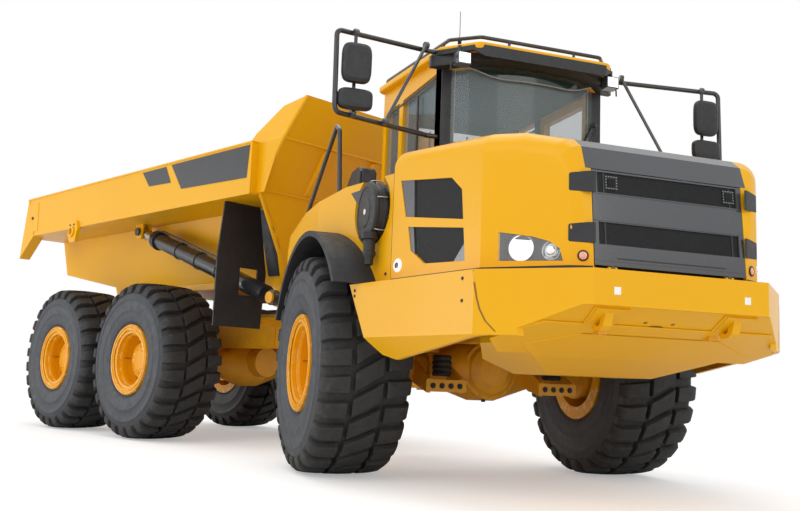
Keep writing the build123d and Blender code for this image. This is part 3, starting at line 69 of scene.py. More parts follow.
def math_node(tree, operation, first, second):
    """A math node's output; each input is a number or another node's output."""
    node = tree.nodes.new("ShaderNodeMath")
    node.operation = operation
    for socket, value in zip(node.inputs, (first, second)):
        if isinstance(value, float):
            socket.default_value = value
        else:
            tree.links.new(value, socket)
    return node.outputs[0]


def surface(name, colour, second, roughness, grain=(8.0, 0.35), bump=None, metallic=0.0,
            coat=0.0, wear=None, dust=None, sheen=0.0, specular=0.5):
    """A surface with uneven colour, uneven gloss, fine relief, worn edges and settled dust.

    grain is the scale of the unevenness and how far it goes towards the second colour.
    bump is (scale, strength, distance), wear a colour and dust (colour, height, amount)."""
    mat = bpy.data.materials.new(name)
    mat.use_nodes = True
    tree = mat.node_tree
    shader = tree.nodes["Principled BSDF"]
    for socket, value in (("Metallic", metallic), ("Coat Weight", coat), ("Sheen Weight", sheen),
                          ("Specular IOR Level", specular), ("Coat Roughness", 0.08)):
        shader.inputs[socket].default_value = value
    place = tree.nodes.new("ShaderNodeTexCoord").outputs["Object"]

    def noise(scale, detail):
        node = tree.nodes.new("ShaderNodeTexNoise")
        node.inputs["Scale"].default_value = scale
        node.inputs["Detail"].default_value = detail
        tree.links.new(place, node.inputs["Vector"])
        return node.outputs["Fac"]

    def mixed(factor, low, high):
        node = tree.nodes.new("ShaderNodeMix")
        node.data_type = "RGBA"
        tree.links.new(factor, node.inputs["Factor"])
        for target, value in ((node.inputs[6], low), (node.inputs[7], high)):
            if isinstance(value, list):
                target.default_value = (*value, 1)
            else:
                tree.links.new(value, target)
        return node.outputs[2]

    def ramp(factor, low, high, out_low=0.0, out_high=1.0):
        node = tree.nodes.new("ShaderNodeMapRange")
        for socket, value in (("From Min", low), ("From Max", high),
                              ("To Min", out_low), ("To Max", out_high)):
            node.inputs[socket].default_value = value
        tree.links.new(factor, node.inputs["Value"])
        return node.outputs["Result"]

    patches = ramp(noise(grain[0], 4), 0.35, 0.7, 0.0, grain[1])
    base = mixed(patches, linear(colour), linear(second))
    if dust:
        height = tree.nodes.new("ShaderNodeSeparateXYZ")
        tree.links.new(place, height.inputs["Vector"])
        settled = math_node(tree, "MULTIPLY", ramp(height.outputs["Z"], dust[1], 0.0),
                            ramp(noise(3.5, 6), 0.4, 0.75))
        base = mixed(ramp(settled, 0.0, 1.0, 0.0, dust[2]), base, linear(dust[0]))
    if wear:
        edges = tree.nodes.new("ShaderNodeNewGeometry").outputs["Pointiness"]
        scuffed = math_node(tree, "MULTIPLY", ramp(edges, 0.54, 0.6),
                            ramp(noise(14, 5), 0.5, 0.7))
        base = mixed(scuffed, base, linear(wear))
    tree.links.new(base, shader.inputs["Base Color"])
    gloss = ramp(noise(grain[0] * 2.3, 5), 0.3, 0.75, *roughness)
    tree.links.new(gloss, shader.inputs["Roughness"])
    if bump:
        relief = tree.nodes.new("ShaderNodeBump")
        relief.inputs["Strength"].default_value = bump[1]
        relief.inputs["Distance"].default_value = bump[2]
        tree.links.new(noise(bump[0], 3), relief.inputs["Height"])
        tree.links.new(relief.outputs["Normal"], shader.inputs["Normal"])
    return mat


YELLOW = surface(
    "yellow_paint", "ECAE04", "E8A702", (0.3, 0.4), (0.9, 0.4), (420, 0.05, 0.0006),
    coat=0.06, specular=0.25, dust=("D2A860", 0.8, 0.22),
)
RIM_YELLOW = surface(
    "rim_paint", "EFA604", "E09A04", (0.25, 0.4), (4, 0.5), (30, 0.1, 0.002),
    coat=0.1, specular=0.3, wear="FFD890", dust=("B89868", 0.6, 0.3),
)
DARK_GREY = surface(
    "dark_grey_paint", "424448", "3C3E42", (0.24, 0.34), (2.4, 0.6), (260, 0.06, 0.0006),
    coat=0.5,
)
GREY_TRIM = surface(
    "light_grey_trim", "8E9194", "808386", (0.35, 0.5), (9, 0.5), (200, 0.1, 0.0006),
)
FRAME_GREY = surface(
    "frame_paint", "34363A", "2C2E31", (0.42, 0.58), (5, 0.6), (60, 0.15, 0.0015),
    dust=("8A7C68", 1.5, 0.3),
)
BLACK = surface(
    "black_plastic", "232427", "1B1C1E", (0.42, 0.6), (10, 0.5), (260, 0.35, 0.0012),
)
BLACK_GLOSS = surface("black_gloss", "17181A", "101113", (0.12, 0.25), (6, 0.4), coat=0.4)
RUBBER = surface(
    "black_rubber", "1E1F22", "28292C", (0.5, 0.72), (6, 0.6), (120, 0.3, 0.001),
    dust=("4A4640", 2.2, 0.25),
)
TREAD = surface(
    "tyre_tread", "2B2B2C", "353433", (0.62, 0.85), (14, 0.7), (90, 0.4, 0.003),
    wear="55555A", dust=("5A554E", 1.2, 0.25),
)
SIDEWALL = surface(
    "tyre_sidewall", "3D4147", "34373C", (0.5, 0.7), (7, 0.7), (70, 0.25, 0.002),
    dust=("6E6A62", 1.0, 0.2),
)
STEEL = surface("bright_steel", "B9BBBD", "9C9EA0", (0.14, 0.28), (20, 0.5), metallic=1.0)
CAST = surface(
    "yellow_castings", "ECA60C", "DA9A0A", (0.4, 0.6), (7, 0.6), (40, 0.5, 0.004),
    dust=("8E7A58", 1.4, 0.3),
)
FABRIC = surface("seat_fabric", "4A4D52", "3C3F44", (0.85, 0.95), (60, 0.6),
                 (420, 0.6, 0.0015), sheen=0.4)
MIRROR = surface("mirror_glass", "DADDE0", "CFD3D6", (0.02, 0.05), (3, 0.2), metallic=1.0)
CHROME = surface("lamp_reflector", "E8EAEC", "D5D8DA", (0.05, 0.12), (9, 0.3), metallic=1.0)
WHITE = surface("blank_sticker", "F4F4F2", "E6E6E2", (0.3, 0.45), (12, 0.4))
ORANGE_LENS = surface("marker_lens", "F0A890", "E89A80", (0.08, 0.15), (8, 0.3), coat=0.6)
MESH_BLACK = surface("vent_mesh", "1B1C1E", "242528", (0.4, 0.55), (40, 0.5),
                     (300, 0.5, 0.001))
SEAM = surface("panel_seam", "8A5A08", "7A4E06", (0.5, 0.7), (12, 0.5))
VOID = surface("dark_opening", "0A0A0B", "0D0D0E", (0.8, 0.95), (30, 0.5), (200, 0.3, 0.001))
LINING = surface("cab_lining", "3A4449", "323B40", (0.7, 0.85), (14, 0.5), (240, 0.3, 0.001))
HOIST_BLACK = surface("cylinder_paint", "222326", "2A2B2E", (0.25, 0.4), (6, 0.5), coat=0.4)
RED_LENS = surface("tail_lens", "B02018", "981A12", (0.08, 0.15), (8, 0.3), coat=0.6)
PLATE = surface("blank_plate", "333437", "2E2F32", (0.3, 0.45), (5, 0.6), (220, 0.1, 0.0006))


def lit(name, colour, strength):
    """A lamp's glowing face."""
    mat = surface(name, colour, colour, (0.1, 0.2), (8, 0.3), coat=0.5)
    shader = mat.node_tree.nodes["Principled BSDF"]
    shader.inputs["Emission Color"].default_value = (*linear(colour), 1)
    shader.inputs["Emission Strength"].default_value = strength
    return mat


BEAM = lit("lit_beam", "FBFDFF", 1.2)
WHITE_LAMP = lit("lit_ring", "F6F4F0", 0.35)


def glass_material(name, tint, alpha):
    """Tinted see-through glass with a faint unevenness."""
    mat = surface(name, tint, tint, (0.02, 0.06), (2, 0.2), (1.2, 0.05, 0.01), coat=0.3)
    mat.node_tree.nodes["Principled BSDF"].inputs["Alpha"].default_value = alpha
    return mat


GLASS = glass_material("cab_glass", "93A8B0", 0.24)
TINT = glass_material("sunshade_glass", "1E2E2A", 0.88)
LENS = glass_material("lamp_lens", "E9EEF2", 0.1)


# Mesh tools


def piece(name, mesh, mat, body, place=None):
    """Put a finished mesh in the scene, painted and riding on its body."""
    obj = bpy.data.objects.new(name, mesh)
    bpy.context.scene.collection.objects.link(obj)
    for each in mat if isinstance(mat, list) else [mat]:
        mesh.materials.append(each)
    if place is not None:
        mesh.transform(place)
        mesh.update()
    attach(obj, body)
    return obj


def bevelled(obj, width, segments=2, angle=35):
    """Round an object's edges and shade it smoothly."""
    rounding = obj.modifiers.new("rounding", "BEVEL")
    rounding.width = width
    rounding.segments = segments
    rounding.limit_method = "ANGLE"
    rounding.angle_limit = math.radians(angle)
    rounding.harden_normals = False
    for face in obj.data.polygons:
        face.use_smooth = True
    even = obj.modifiers.new("even", "WEIGHTED_NORMAL")
    even.keep_sharp = True
    return obj


def mesh_from(vertices, faces):
    """A mesh of these points and faces."""
    mesh = bpy.data.meshes.new("shape")
    mesh.from_pydata([tuple(v) for v in vertices], [], faces)
    mesh.update()
    return mesh


def rect(a0, b0, a1, b1):
    """The outline of a rectangle, from its low corner to its high one."""
    return [(a0, b0), (a1, b0), (a1, b1), (a0, b1)]


def scaled(outline, middle, across, up):
    """An outline shrunk towards a middle point."""
    return [(middle[0] + (a - middle[0]) * across, middle[1] + (b - middle[1]) * up)
            for a, b in outline]


def sized(profile, radius):
    """A profile written in shares of a radius, at its real radius."""
    return [(radius * share, along) for share, along in profile]


def from_side(x, z, depth):
    """Lays a side view's outline, with its depths along Y."""
    return (x, depth, z)


def from_front(y, z, depth):
    """Lays a front view's outline, with its depths along X."""
    return (depth, y, z)


def circle(count, radius, at, start=0.0):
    """Points spaced evenly on a circle, each laid by at(a, b)."""
    turns = [2 * math.pi * (k + start) / count for k in range(count)]
    return [at(radius * math.cos(turn), radius * math.sin(turn)) for turn in turns]


def skin(rings, steps):
    """The faces between rings of points that follow each other."""
    return [[i * steps + k, i * steps + (k + 1) % steps,
             (i + 1) * steps + (k + 1) % steps, (i + 1) * steps + k]
            for i in range(rings - 1) for k in range(steps)]


def caps(rings, steps):
    """The faces that close the first and the last ring."""
    last = (rings - 1) * steps
    return [list(range(steps)), [last + k for k in range(steps)]]


def lathe(profile, steps):
    """Turn a list of (radius, y) points about the Y axis; the list closes on itself."""
    vertices = []
    faces = []
    count = len(profile)
    for step in range(steps):
        turn = 2 * math.pi * step / steps
        for radius, y in profile:
            vertices.append((radius * math.cos(turn), y, radius * math.sin(turn)))
    for step in range(steps):
        following = (step + 1) % steps
        for i in range(count):
            j = (i + 1) % count
            faces.append((step * count + i, step * count + j,
                          following * count + j, following * count + i))
    return mesh_from(vertices, faces)


# Tyres

TYRE_RADIUS = 0.905
AXLE_HEIGHT = TYRE_RADIUS
TRACK_HALF = 1.318
PITCHES = 27
# Across the tyre from its middle to the sidewall: outer line of the lugs and line of their feet,
# each point as (distance from the middle plane, radius)
LUG_LINE = [
    (0.0, (0.0, 0.905)), (0.12, (0.12, 0.903)), (0.26, (0.26, 0.895)), (0.315, (0.315, 0.886)),
    (0.345, (0.343, 0.872)), (0.38, (0.362, 0.842)), (0.44, (0.373, 0.785)),
]
FOOT_LINE = [
    (0.0, (0.0, 0.853)), (0.12, (0.12, 0.851)), (0.26, (0.25, 0.843)), (0.315, (0.29, 0.836)),
    (0.345, (0.315, 0.825)), (0.38, (0.338, 0.80)), (0.44, (0.36, 0.765)),
]


def along_line(line, reach):
    """The (y, radius) point at a reach from the tyre's middle; a negative reach mirrors it."""
    side = -1 if reach < 0 else 1
    reach = abs(reach)
    for (start, a), (end, b) in zip(line, line[1:]):
        if reach <= end:
            part = (reach - start) / (end - start)
            return side * (a[0] + (b[0] - a[0]) * part), a[1] + (b[1] - a[1]) * part
    return side * line[-1][1][0], line[-1][1][1]


def lug(vertices, faces, corners, across, around):
    """Add one tread block. corners are its four (turn, reach) corners, in order."""
    first = len(vertices)
    columns, rows = across + 1, around + 1
    for line, swell in ((LUG_LINE, 1.0), (FOOT_LINE, 1.16)):
        for i in range(columns):
            s = i / across
            low = [corners[0][k] + (corners[1][k] - corners[0][k]) * s for k in (0, 1)]
            high = [corners[3][k] + (corners[2][k] - corners[3][k]) * s for k in (0, 1)]
            centre = (low[0] + high[0]) / 2
            for j in range(rows):
                t = j / around
                turn = low[0] + (high[0] - low[0]) * t
                turn = centre + (turn - centre) * swell
                y, radius = along_line(line, low[1] + (high[1] - low[1]) * t)
                vertices.append((radius * math.cos(turn), y, radius * math.sin(turn)))
    size = columns * rows

    def at(i, j, layer=0):
        return first + layer * size + i * rows + j

    for i in range(across):
        for j in range(around):
            faces.append((at(i, j), at(i + 1, j), at(i + 1, j + 1), at(i, j + 1)))
            faces.append((at(i, j, 1), at(i, j + 1, 1), at(i + 1, j + 1, 1), at(i + 1, j, 1)))
    for i in range(across):
        faces.append((at(i, 0), at(i, 0, 1), at(i + 1, 0, 1), at(i + 1, 0)))
        faces.append((at(i, around), at(i + 1, around), at(i + 1, around, 1), at(i, around, 1)))
    for j in range(around):
        faces.append((at(0, j), at(0, j + 1), at(0, j + 1, 1), at(0, j, 1)))
        faces.append((at(across, j), at(across, j, 1), at(across, j + 1, 1), at(across, j + 1)))


# Lugs of one pitch: faces across, then the corners as (turn in pitches, reach)
LUGS = (
    (7, ((0.06, -0.44), (0.13, -0.150), (0.75, -0.150), (0.58, -0.44))),
    (4, ((0.20, -0.112), (0.84, 0.112), (1.52, 0.112), (0.88, -0.112))),
    (7, ((0.97, 0.150), (1.12, 0.44), (1.64, 0.44), (1.58, 0.150))),
)


def tread_mesh():
    """All the tread blocks of a tyre: two shoulder rows and a slanted middle row."""
    vertices, faces = [], []
    pitch = 2 * math.pi / PITCHES
    for k in range(PITCHES):
        for across, corners in LUGS:
            placed = [((k + turn) * pitch, reach) for turn, reach in corners]
            lug(vertices, faces, placed, across, 2)
    return mesh_from(vertices, faces)


# Half of the tyre's section under its lugs, as (radius, y) from bead to middle
CARCASS = [
    (0.3185, 0.32), (0.41, 0.322), (0.424, 0.333), (0.440, 0.345), (0.446, 0.352),
    (0.460, 0.352), (0.470, 0.357), (0.520, 0.367), (0.565, 0.3705), (0.570, 0.3745),
    (0.580, 0.3745), (0.585, 0.371), (0.660, 0.3715), (0.695, 0.370), (0.700, 0.3765),
    (0.712, 0.3765), (0.717, 0.370), (0.765, 0.362), (0.80, 0.34), (0.825, 0.316),
    (0.838, 0.28), (0.848, 0.16), (0.853, 0.0),
]
TREAD_FROM = 17


def carcass_mesh():
    """The tyre under its lugs, with tread rubber from its shoulders outwards."""
    profile = CARCASS + [(r, -y) for r, y in reversed(CARCASS[:-1])]
    mesh = lathe(profile, 108)
    count = len(profile)
    for face in mesh.polygons:
        face.use_smooth = True
        row = face.index % count
        face.material_index = 0 if TREAD_FROM <= row < count - TREAD_FROM - 2 else 1
    return mesh


MIDDLE_AXLE_X = -4.515
REAR_AXLE_X = -6.455
WHEELS = [
    # axle, its x, unit
    ("front", 0.0, TRACTOR),
    ("middle", MIDDLE_AXLE_X, LOAD_UNIT),
    ("rear", REAR_AXLE_X, LOAD_UNIT),
]


def wheel_place(x, unit, sign):
    """Where a wheel stands, with its outer face away from the truck."""
    place = unit @ Matrix.Translation((x, sign * TRACK_HALF, AXLE_HEIGHT))
    return place if sign > 0 else place @ Matrix.Rotation(math.pi, 4, "Z")


for axle, x, unit in WHEELS:
    for side, sign in SIDES.items():
        place = wheel_place(x, unit, sign)
        body = f"wheel_{axle}_{side}"
        tread = piece(f"tread_{axle}_{side}", tread_mesh(), TREAD, body, place)
        bevelled(tread, 0.006, 2, 40)
        wall = piece(f"carcass_{axle}_{side}", carcass_mesh(), [TREAD, SIDEWALL], body, place)
        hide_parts(f"tyre_{axle}_{side}")
        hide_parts(f"tyre_{axle}_{side}")

# Paint for the solids that show

PAINT = {
    "yellow_paint": YELLOW, "dark_grey_paint": FRAME_GREY, "black_plastic": BLACK,
    "black_rubber": RUBBER, "steel": STEEL, "cast_iron": CAST, "glass": GLASS,
    "lamp_glass": LENS, "seat_fabric": FABRIC, "mirror_case": BLACK_GLOSS, "tyre": TREAD,
}
OWN_PAINT = {
    # start of the node's name and its paint, where the slot's isn't used
    "rim_": RIM_YELLOW, "hood_cap": DARK_GREY, "grille": DARK_GREY, "visor": BLACK,
    "hoist_barrel": HOIST_BLACK, "steering_barrel": HOIST_BLACK, "mirror_arms": HOIST_BLACK,
    "handrails": HOIST_BLACK, "load_frame": CAST, "bogie_beams": CAST, "front_frame": CAST,
    "hitch": CAST,
}
slot_of = {s["node"]: s["material_slot"] for s in frame["record"]["subparts"]}
for name, obj in nodes.items():
    own = [paint for start, paint in OWN_PAINT.items() if name.startswith(start)]
    obj.data.materials.clear()
    obj.data.materials.append(own[0] if own else PAINT[slot_of[name]])
    if not name.startswith("tyre_"):
        bevelled(obj, 0.006, 2, 30)


# Building joined meshes


class Form:
    """Several shapes gathered into one mesh, each with its own paint."""

    def __init__(self):
        self.points, self.faces, self.paints = [], [], []

    def add(self, points, faces, paint=0):
        first = len(self.points)
        self.points += [tuple(p) for p in points]
        self.faces += [[first + i for i in face] for face in faces]
        self.paints += [paint] * len(faces)

    def prism(self, outline, depth, at, paint=0):
        """A plate with the given outline, between two depths, laid by at(a, b, depth)."""
        count = len(outline)
        points = [at(a, b, c) for c in depth for a, b in outline]
        sides = [[i, (i + 1) % count, count + (i + 1) % count, count + i] for i in range(count)]
        self.add(points, [list(range(count)), list(range(2 * count - 1, count - 1, -1))] + sides,
                 paint)

    def box(self, low, high, paint=0):
        self.prism(rect(low[0], low[1], high[0], high[1]), (low[2], high[2]),
                   lambda a, b, c: (a, b, c), paint)

    def turned(self, profile, centre, axis, steps=24, paint=0, open_ring=False):
        """Turn (radius, distance along the axis) points about a line through centre.

        An open ring is joined from its last point back to its first and has no end faces."""
        axis = Vector(axis).normalized()
        side = axis.orthogonal().normalized()
        other = axis.cross(side)
        points = []
        for radius, along in profile:
            spot = Vector(centre) + axis * along
            points += circle(steps, radius, lambda a, b: spot + side * a + other * b)
        rings = len(profile)
        last = (rings - 1) * steps
        ends = caps(rings, steps)
        if open_ring:
            ends = [[last + k, last + (k + 1) % steps, (k + 1) % steps, k] for k in range(steps)]
        self.add(points, skin(rings, steps) + ends, paint)

    def tube(self, route, radius, steps=8, bend=0.04, paint=0):
        """A round tube along straight runs with rounded corners."""
        route = [Vector(p) for p in route]
        line = [route[0]]
        for before, corner, after in zip(route, route[1:], route[2:]):
            reach = min(bend, (before - corner).length / 2, (after - corner).length / 2)
            start = corner + (before - corner).normalized() * reach
            end = corner + (after - corner).normalized() * reach
            for k in range(5):
                t = k / 4
                line.append(start * (1 - t) ** 2 + corner * 2 * t * (1 - t) + end * t * t)
        line.append(route[-1])
        side = (line[1] - line[0]).orthogonal().normalized()
        points = []
        for i, spot in enumerate(line):
            ahead = (line[min(i + 1, len(line) - 1)] - line[max(i - 1, 0)]).normalized()
            side = (side - ahead * side.dot(ahead)).normalized()
            other = ahead.cross(side)
            points += circle(steps, radius, lambda a, b: spot + side * a + other * b)
        self.add(points, skin(len(line), steps) + caps(len(line), steps), paint)

    def bolts(self, places, axis, size=0.012, paint=0):
        """Hexagon bolt heads on washers."""
        for spot in places:
            self.turned([(size * 1.5, -0.002), (size * 1.5, size * 0.25)], spot, axis, 16, paint)
            self.turned([(size, 0), (size, size * 0.9), (size * 0.8, size * 1.05)], spot, axis, 6,
                        paint)

    def lattice(self, outline, pitch, wire, depth, at, paint=0):
        """Crossed wires cut to a convex outline."""
        for slope in (1.0, -1.0):
            values = [b - slope * a for a, b in outline]
            step = pitch * math.sqrt(2)
            first = math.ceil(min(values) / step)
            for k in range(first, math.floor(max(values) / step) + 1):
                ends = []
                for (a0, b0), (a1, b1) in zip(outline, outline[1:] + outline[:1]):
                    v0, v1 = b0 - slope * a0 - k * step, b1 - slope * a1 - k * step
                    if v0 * v1 < 0:
                        t = v0 / (v0 - v1)
                        ends.append((a0 + (a1 - a0) * t, b0 + (b1 - b0) * t))
                if len(ends) != 2:
                    continue
                (a0, b0), (a1, b1) = ends
                length = math.hypot(a1 - a0, b1 - b0)
                if length < pitch:
                    continue
                across = (-(b1 - b0) / length * wire, (a1 - a0) / length * wire)
                corners = [(a0 - across[0], b0 - across[1]), (a1 - across[0], b1 - across[1]),
                           (a1 + across[0], b1 + across[1]), (a0 + across[0], b0 + across[1])]
                self.prism(corners, depth, at, paint)

    def done(self, name, mats, body, place=TRACTOR, slot=None, bevel=0.003, segments=2, angle=35):
        """Make the mesh, with its faces turned outwards, as a piece of the scene."""
        mesh = mesh_from(self.points, self.faces)
        for face, paint in zip(mesh.polygons, self.paints):
            face.material_index = paint
        shape = bmesh.new()
        shape.from_mesh(mesh)
        bmesh.ops.recalc_face_normals(shape, faces=shape.faces)
        shape.to_mesh(mesh)
        shape.free()
        obj = piece(name, mesh, mats, body, place)
        if bevel:
            bevelled(obj, bevel, segments, angle)
        return obj


# Hood, with its skins as plans: from above, x and how far the flank stands from the middle

HOOD_PLAN = [(1.3, 1.33), (2.3, 1.08), (2.74, 0.69), (2.8, 0.56)]
VENTS = (
    # opening in the flank as (x, z), plain strips within it
    ([(1.386, 2.229), (1.983, 2.151), (2.097, 2.054), (2.118, 1.851), (1.46, 1.952)],
     [[(1.386, 2.229), (1.545, 2.208), (1.56, 1.937), (1.46, 1.952)]]),
    ([(1.497, 1.876), (2.124, 1.794), (2.147, 1.574), (1.702, 1.594), (1.535, 1.702)],
     [[(1.497, 1.876), (1.555, 1.868), (1.58, 1.672), (1.535, 1.702)],
      [(2.02, 1.58), (2.147, 1.574), (2.135, 1.70)]]),
)
LAMP_VIEW = [(2.388, 1.555), (2.388, 1.739), (2.56, 1.70), (2.644, 1.665), (2.69, 1.622),
             (2.707, 1.545)]


def flank_at(x, plan=HOOD_PLAN):
    """How far the flank stands from the middle at x."""
    for (x0, y0), (x1, y1) in zip(plan, plan[1:]):
        if x <= x1:
            return y0 + (y1 - y0) * (x - x0) / (x1 - x0)
    return plan[-1][1]


def flank(side, plan=HOOD_PLAN):
    """Lays (x, z, depth under the skin) on one flank."""
    return lambda x, z, depth: (x, side * (flank_at(x, plan) - depth), z)


for name, side in SIDES.items():
    at = flank(side)
    mesh = Form()
    for opening, strips in VENTS:
        mesh.lattice(opening, 0.011, 0.0016, (0.016, 0.020), at)
        mesh.prism(opening, (0.026, 0.028), at, 2)
        for strip in strips:
            mesh.prism(strip, (0.006, 0.015), at, 1)
    mesh.done(f"vent_mesh_{name}", [MESH_BLACK, DARK_GREY, VOID], "hood", slot="dark_grey_paint",
              bevel=0)

# Headlights: a dark bowl with a main beam, a second lamp and a clear cover

LAMP_MIDDLE = (2.548, 1.63)
# Lamp forms as (share of the lamp's radius, depth)
BOWL = ((0.25, -0.008), (0.55, 0.0), (0.85, 0.016), (1.0, 0.034), (1.05, 0.034), (1.05, 0.028),
        (0.9, 0.008), (0.6, -0.009))
BARREL = ((0.55, 0.0), (0.55, 0.045), (0.45, 0.052), (0.2, 0.056))
BARREL_RING = ((0.66, 0.036), (0.66, 0.044), (0.56, 0.044), (0.56, 0.036))
BULB = ((0.34, 0.050), (0.30, 0.062), (0.1, 0.066))
MAIN_BEAM = ((0.64, 0.004), (0.64, 0.026), (0.5, 0.036), (0.1, 0.040))
for name, side in SIDES.items():
    at = flank(side)
    out = Vector((0.39, side * 0.44, 0)).normalized()
    lamp = Form()
    lamp.prism(scaled(LAMP_VIEW, LAMP_MIDDLE, 0.985, 0.985), (0.075, 0.082), at)
    rim = scaled(LAMP_VIEW, LAMP_MIDDLE, 0.98, 0.97)
    for (x0, z0), (x1, z1) in zip(rim, rim[1:] + rim[:1]):
        lamp.add([at(x0, z0, 0.010), at(x1, z1, 0.010), at(x1, z1, 0.08), at(x0, z0, 0.08)],
                 [[0, 1, 2, 3]])
    main, second = Vector(at(2.466, 1.634, 0.068)), Vector(at(2.612, 1.612, 0.068))
    lamp.turned(sized(BOWL, 0.080), main, out, 36, 1)
    lamp.turned(sized(MAIN_BEAM, 0.080), main, out, 36, 2)
    lamp.turned(sized(BOWL, 0.056), second, out, 36, 1)
    lamp.turned(sized(BARREL, 0.056), second, out, 32, 1)
    lamp.turned(sized(BARREL_RING, 0.056), second, out, 32, 1, True)
    lamp.turned(sized(BULB, 0.056), second, out, 24, 3)
    lamp.prism([(2.40, 1.70), (2.40, 1.735), (2.56, 1.697), (2.64, 1.664), (2.56, 1.676)],
               (0.03, 0.07), at)
    inside = lamp.done(f"headlight_inside_{name}", [BLACK, CHROME, BEAM, WHITE_LAMP], "hood",
                       slot="lamp_glass", bevel=0)
    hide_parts("headlights")
    cover = Form()
    cover.prism(LAMP_VIEW, (0.004, 0.009), at)
    clear = cover.done(f"headlight_cover_{name}", LENS, "hood", slot="lamp_glass", bevel=0)
    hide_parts("headlights")

# Black inserts and marker lamps at the hood's front corners

for name, side in SIDES.items():
    at = flank(side)
    insert = Form()
    for low, high in ((1.968, 2.098), (1.655, 1.782)):
        insert.prism([(2.733, low + 0.016), (2.738, low + 0.006), (2.785, low), (2.7995, low),
                      (2.7995, high), (2.785, high), (2.738, high - 0.012), (2.733, high - 0.022)],
                     (-0.006, 0.012), at)
    insert.done(f"hood_inserts_{name}", BLACK, "hood", slot="black_plastic", bevel=0.002)
    marker = Form()
    spot = Vector(at(2.772, 1.576, 0.0))
    away = Vector((0.9, side * 0.42, 0)).normalized()
    marker.turned([(0.034, -0.01), (0.034, 0.006), (0.028, 0.009), (0.026, 0.004)], spot, away,
                  28, 0)
    marker.turned([(0.026, 0.0), (0.024, 0.008), (0.014, 0.012), (0.004, 0.013)], spot, away,
                  28, 1)
    marker.done(f"marker_lamp_{name}", [BLACK, ORANGE_LENS], "hood", slot="lamp_glass", bevel=0)
    ring = Form()
    spot = Vector(at(1.39, 1.607, 0.0))
    away = Vector((0.24, side * 0.97, 0)).normalized()
    ring.turned([(0.050, -0.005), (0.050, 0.006), (0.043, 0.012), (0.024, 0.013)], spot, away,
                32, 0)
    ring.turned([(0.022, 0.010), (0.022, 0.016), (0.012, 0.018), (0.006, 0.016)], spot, away,
                24, 1)
    ring.done(f"side_lamp_{name}", [WHITE_LAMP, DARK_GREY], "hood", slot="lamp_glass", bevel=0)

# Grille: wire mesh, end strips, sensors and a stepped lip


GRILLE_FACE_X = 2.8
GRILLE_FOOT_Z = 1.524
GRILLE_LEAN = 0.0817


def on_grille(y, z, out):
    """Lays (y, z, out) on the leaning face of the grille."""
    return (GRILLE_FACE_X - (z - GRILLE_FOOT_Z) * GRILLE_LEAN + out, y, z)


mesh = Form()
for low, high in ((1.655, 1.793), (1.978, 2.108)):
    window = rect(-0.517, low, 0.517, high)
    mesh.lattice(window, 0.0085, 0.0011, (-0.012, -0.009), on_grille)
    mesh.prism(window, (-0.032, -0.030), on_grille, 2)
    for y in (-0.470, 0.470):
        mesh.prism(rect(y - 0.006, low, y + 0.006, high), (-0.009, -0.006), on_grille)
    for y in (-0.528, 0.528):
        mesh.prism(rect(y - 0.010, low, y + 0.010, high), (-0.010, -0.002), on_grille, 1)
mesh.done("grille_mesh", [MESH_BLACK, DARK_GREY, VOID], "grille", slot="dark_grey_paint", bevel=0)

detail = Form()
for y, z in ((-0.417, 2.048), (0.46, 2.048)):
    edge = 0.042
    detail.prism(rect(y - edge, z - edge, y + edge, z + edge), (-0.010, -0.004), on_grille)
    detail.prism(rect(y - 0.026, z - 0.026, y + 0.026, z + 0.026), (-0.004, 0.002), on_grille, 1)
    for k in range(5):
        shift = (k - 2) * 0.018
        for a, b in ((shift, -0.038), (shift, 0.038), (-0.038, shift), (0.038, shift)):
            detail.prism(rect(y + a - 0.004, z + b - 0.0025, y + a + 0.004, z + b + 0.0025),
                         (-0.004, -0.002), on_grille, 2)
detail.done("grille_sensors", [MESH_BLACK, VOID, GREY_TRIM], "grille", slot="black_plastic",
            bevel=0)

lip = Form()
lip.prism([(-0.545, 1.552), (0.545, 1.552), (0.545, 1.562), (0.44, 1.562), (0.425, 1.584),
           (-0.425, 1.584), (-0.44, 1.562), (-0.545, 1.562)], (-0.002, 0.002), on_grille)
lip.prism(rect(-0.40, 1.568, 0.40, 1.577), (0.002, 0.003), on_grille, 1)
for z in (1.800, 1.970):
    lip.prism(rect(-0.548, z, 0.548, z + 0.007), (-0.002, 0.004), on_grille)
lip.done("grille_lip", [DARK_GREY, BLACK], "grille", slot="dark_grey_paint", bevel=0.002)

# Bumper: blank squares, seams, holes and bolts


BUMPER_FACE_X = 2.914
BUMPER_PLAN = [(0.94, 1.53), (2.41, 1.17), (BUMPER_FACE_X, 0.632)]
# Top of the leaning lower front as (x, z), and how far it runs back and down per metre
SLOPE_TOP = (2.869, 1.275)
SLOPE_BACK, SLOPE_DOWN = 0.88, 0.475


def on_bumper(y, z, out):
    """Lays (y, z, out) on the bumper's upright front."""
    return (BUMPER_FACE_X + out, y, z)



def on_slope(y, along, out):
    """Lays (y, distance down the leaning lower front, out) from the fold at its top."""
    return (SLOPE_TOP[0] - along * SLOPE_BACK + out * SLOPE_DOWN, y,
            SLOPE_TOP[1] - along * SLOPE_DOWN - out * SLOPE_BACK)


plates = Form()
for y in (-0.47, 0.47):
    plates.prism(rect(y - 0.023, 1.340, y + 0.023, 1.386), (-0.001, 0.0012), on_bumper)
plates.done("bumper_squares", WHITE, "tractor", slot="yellow_paint", bevel=0.0008)

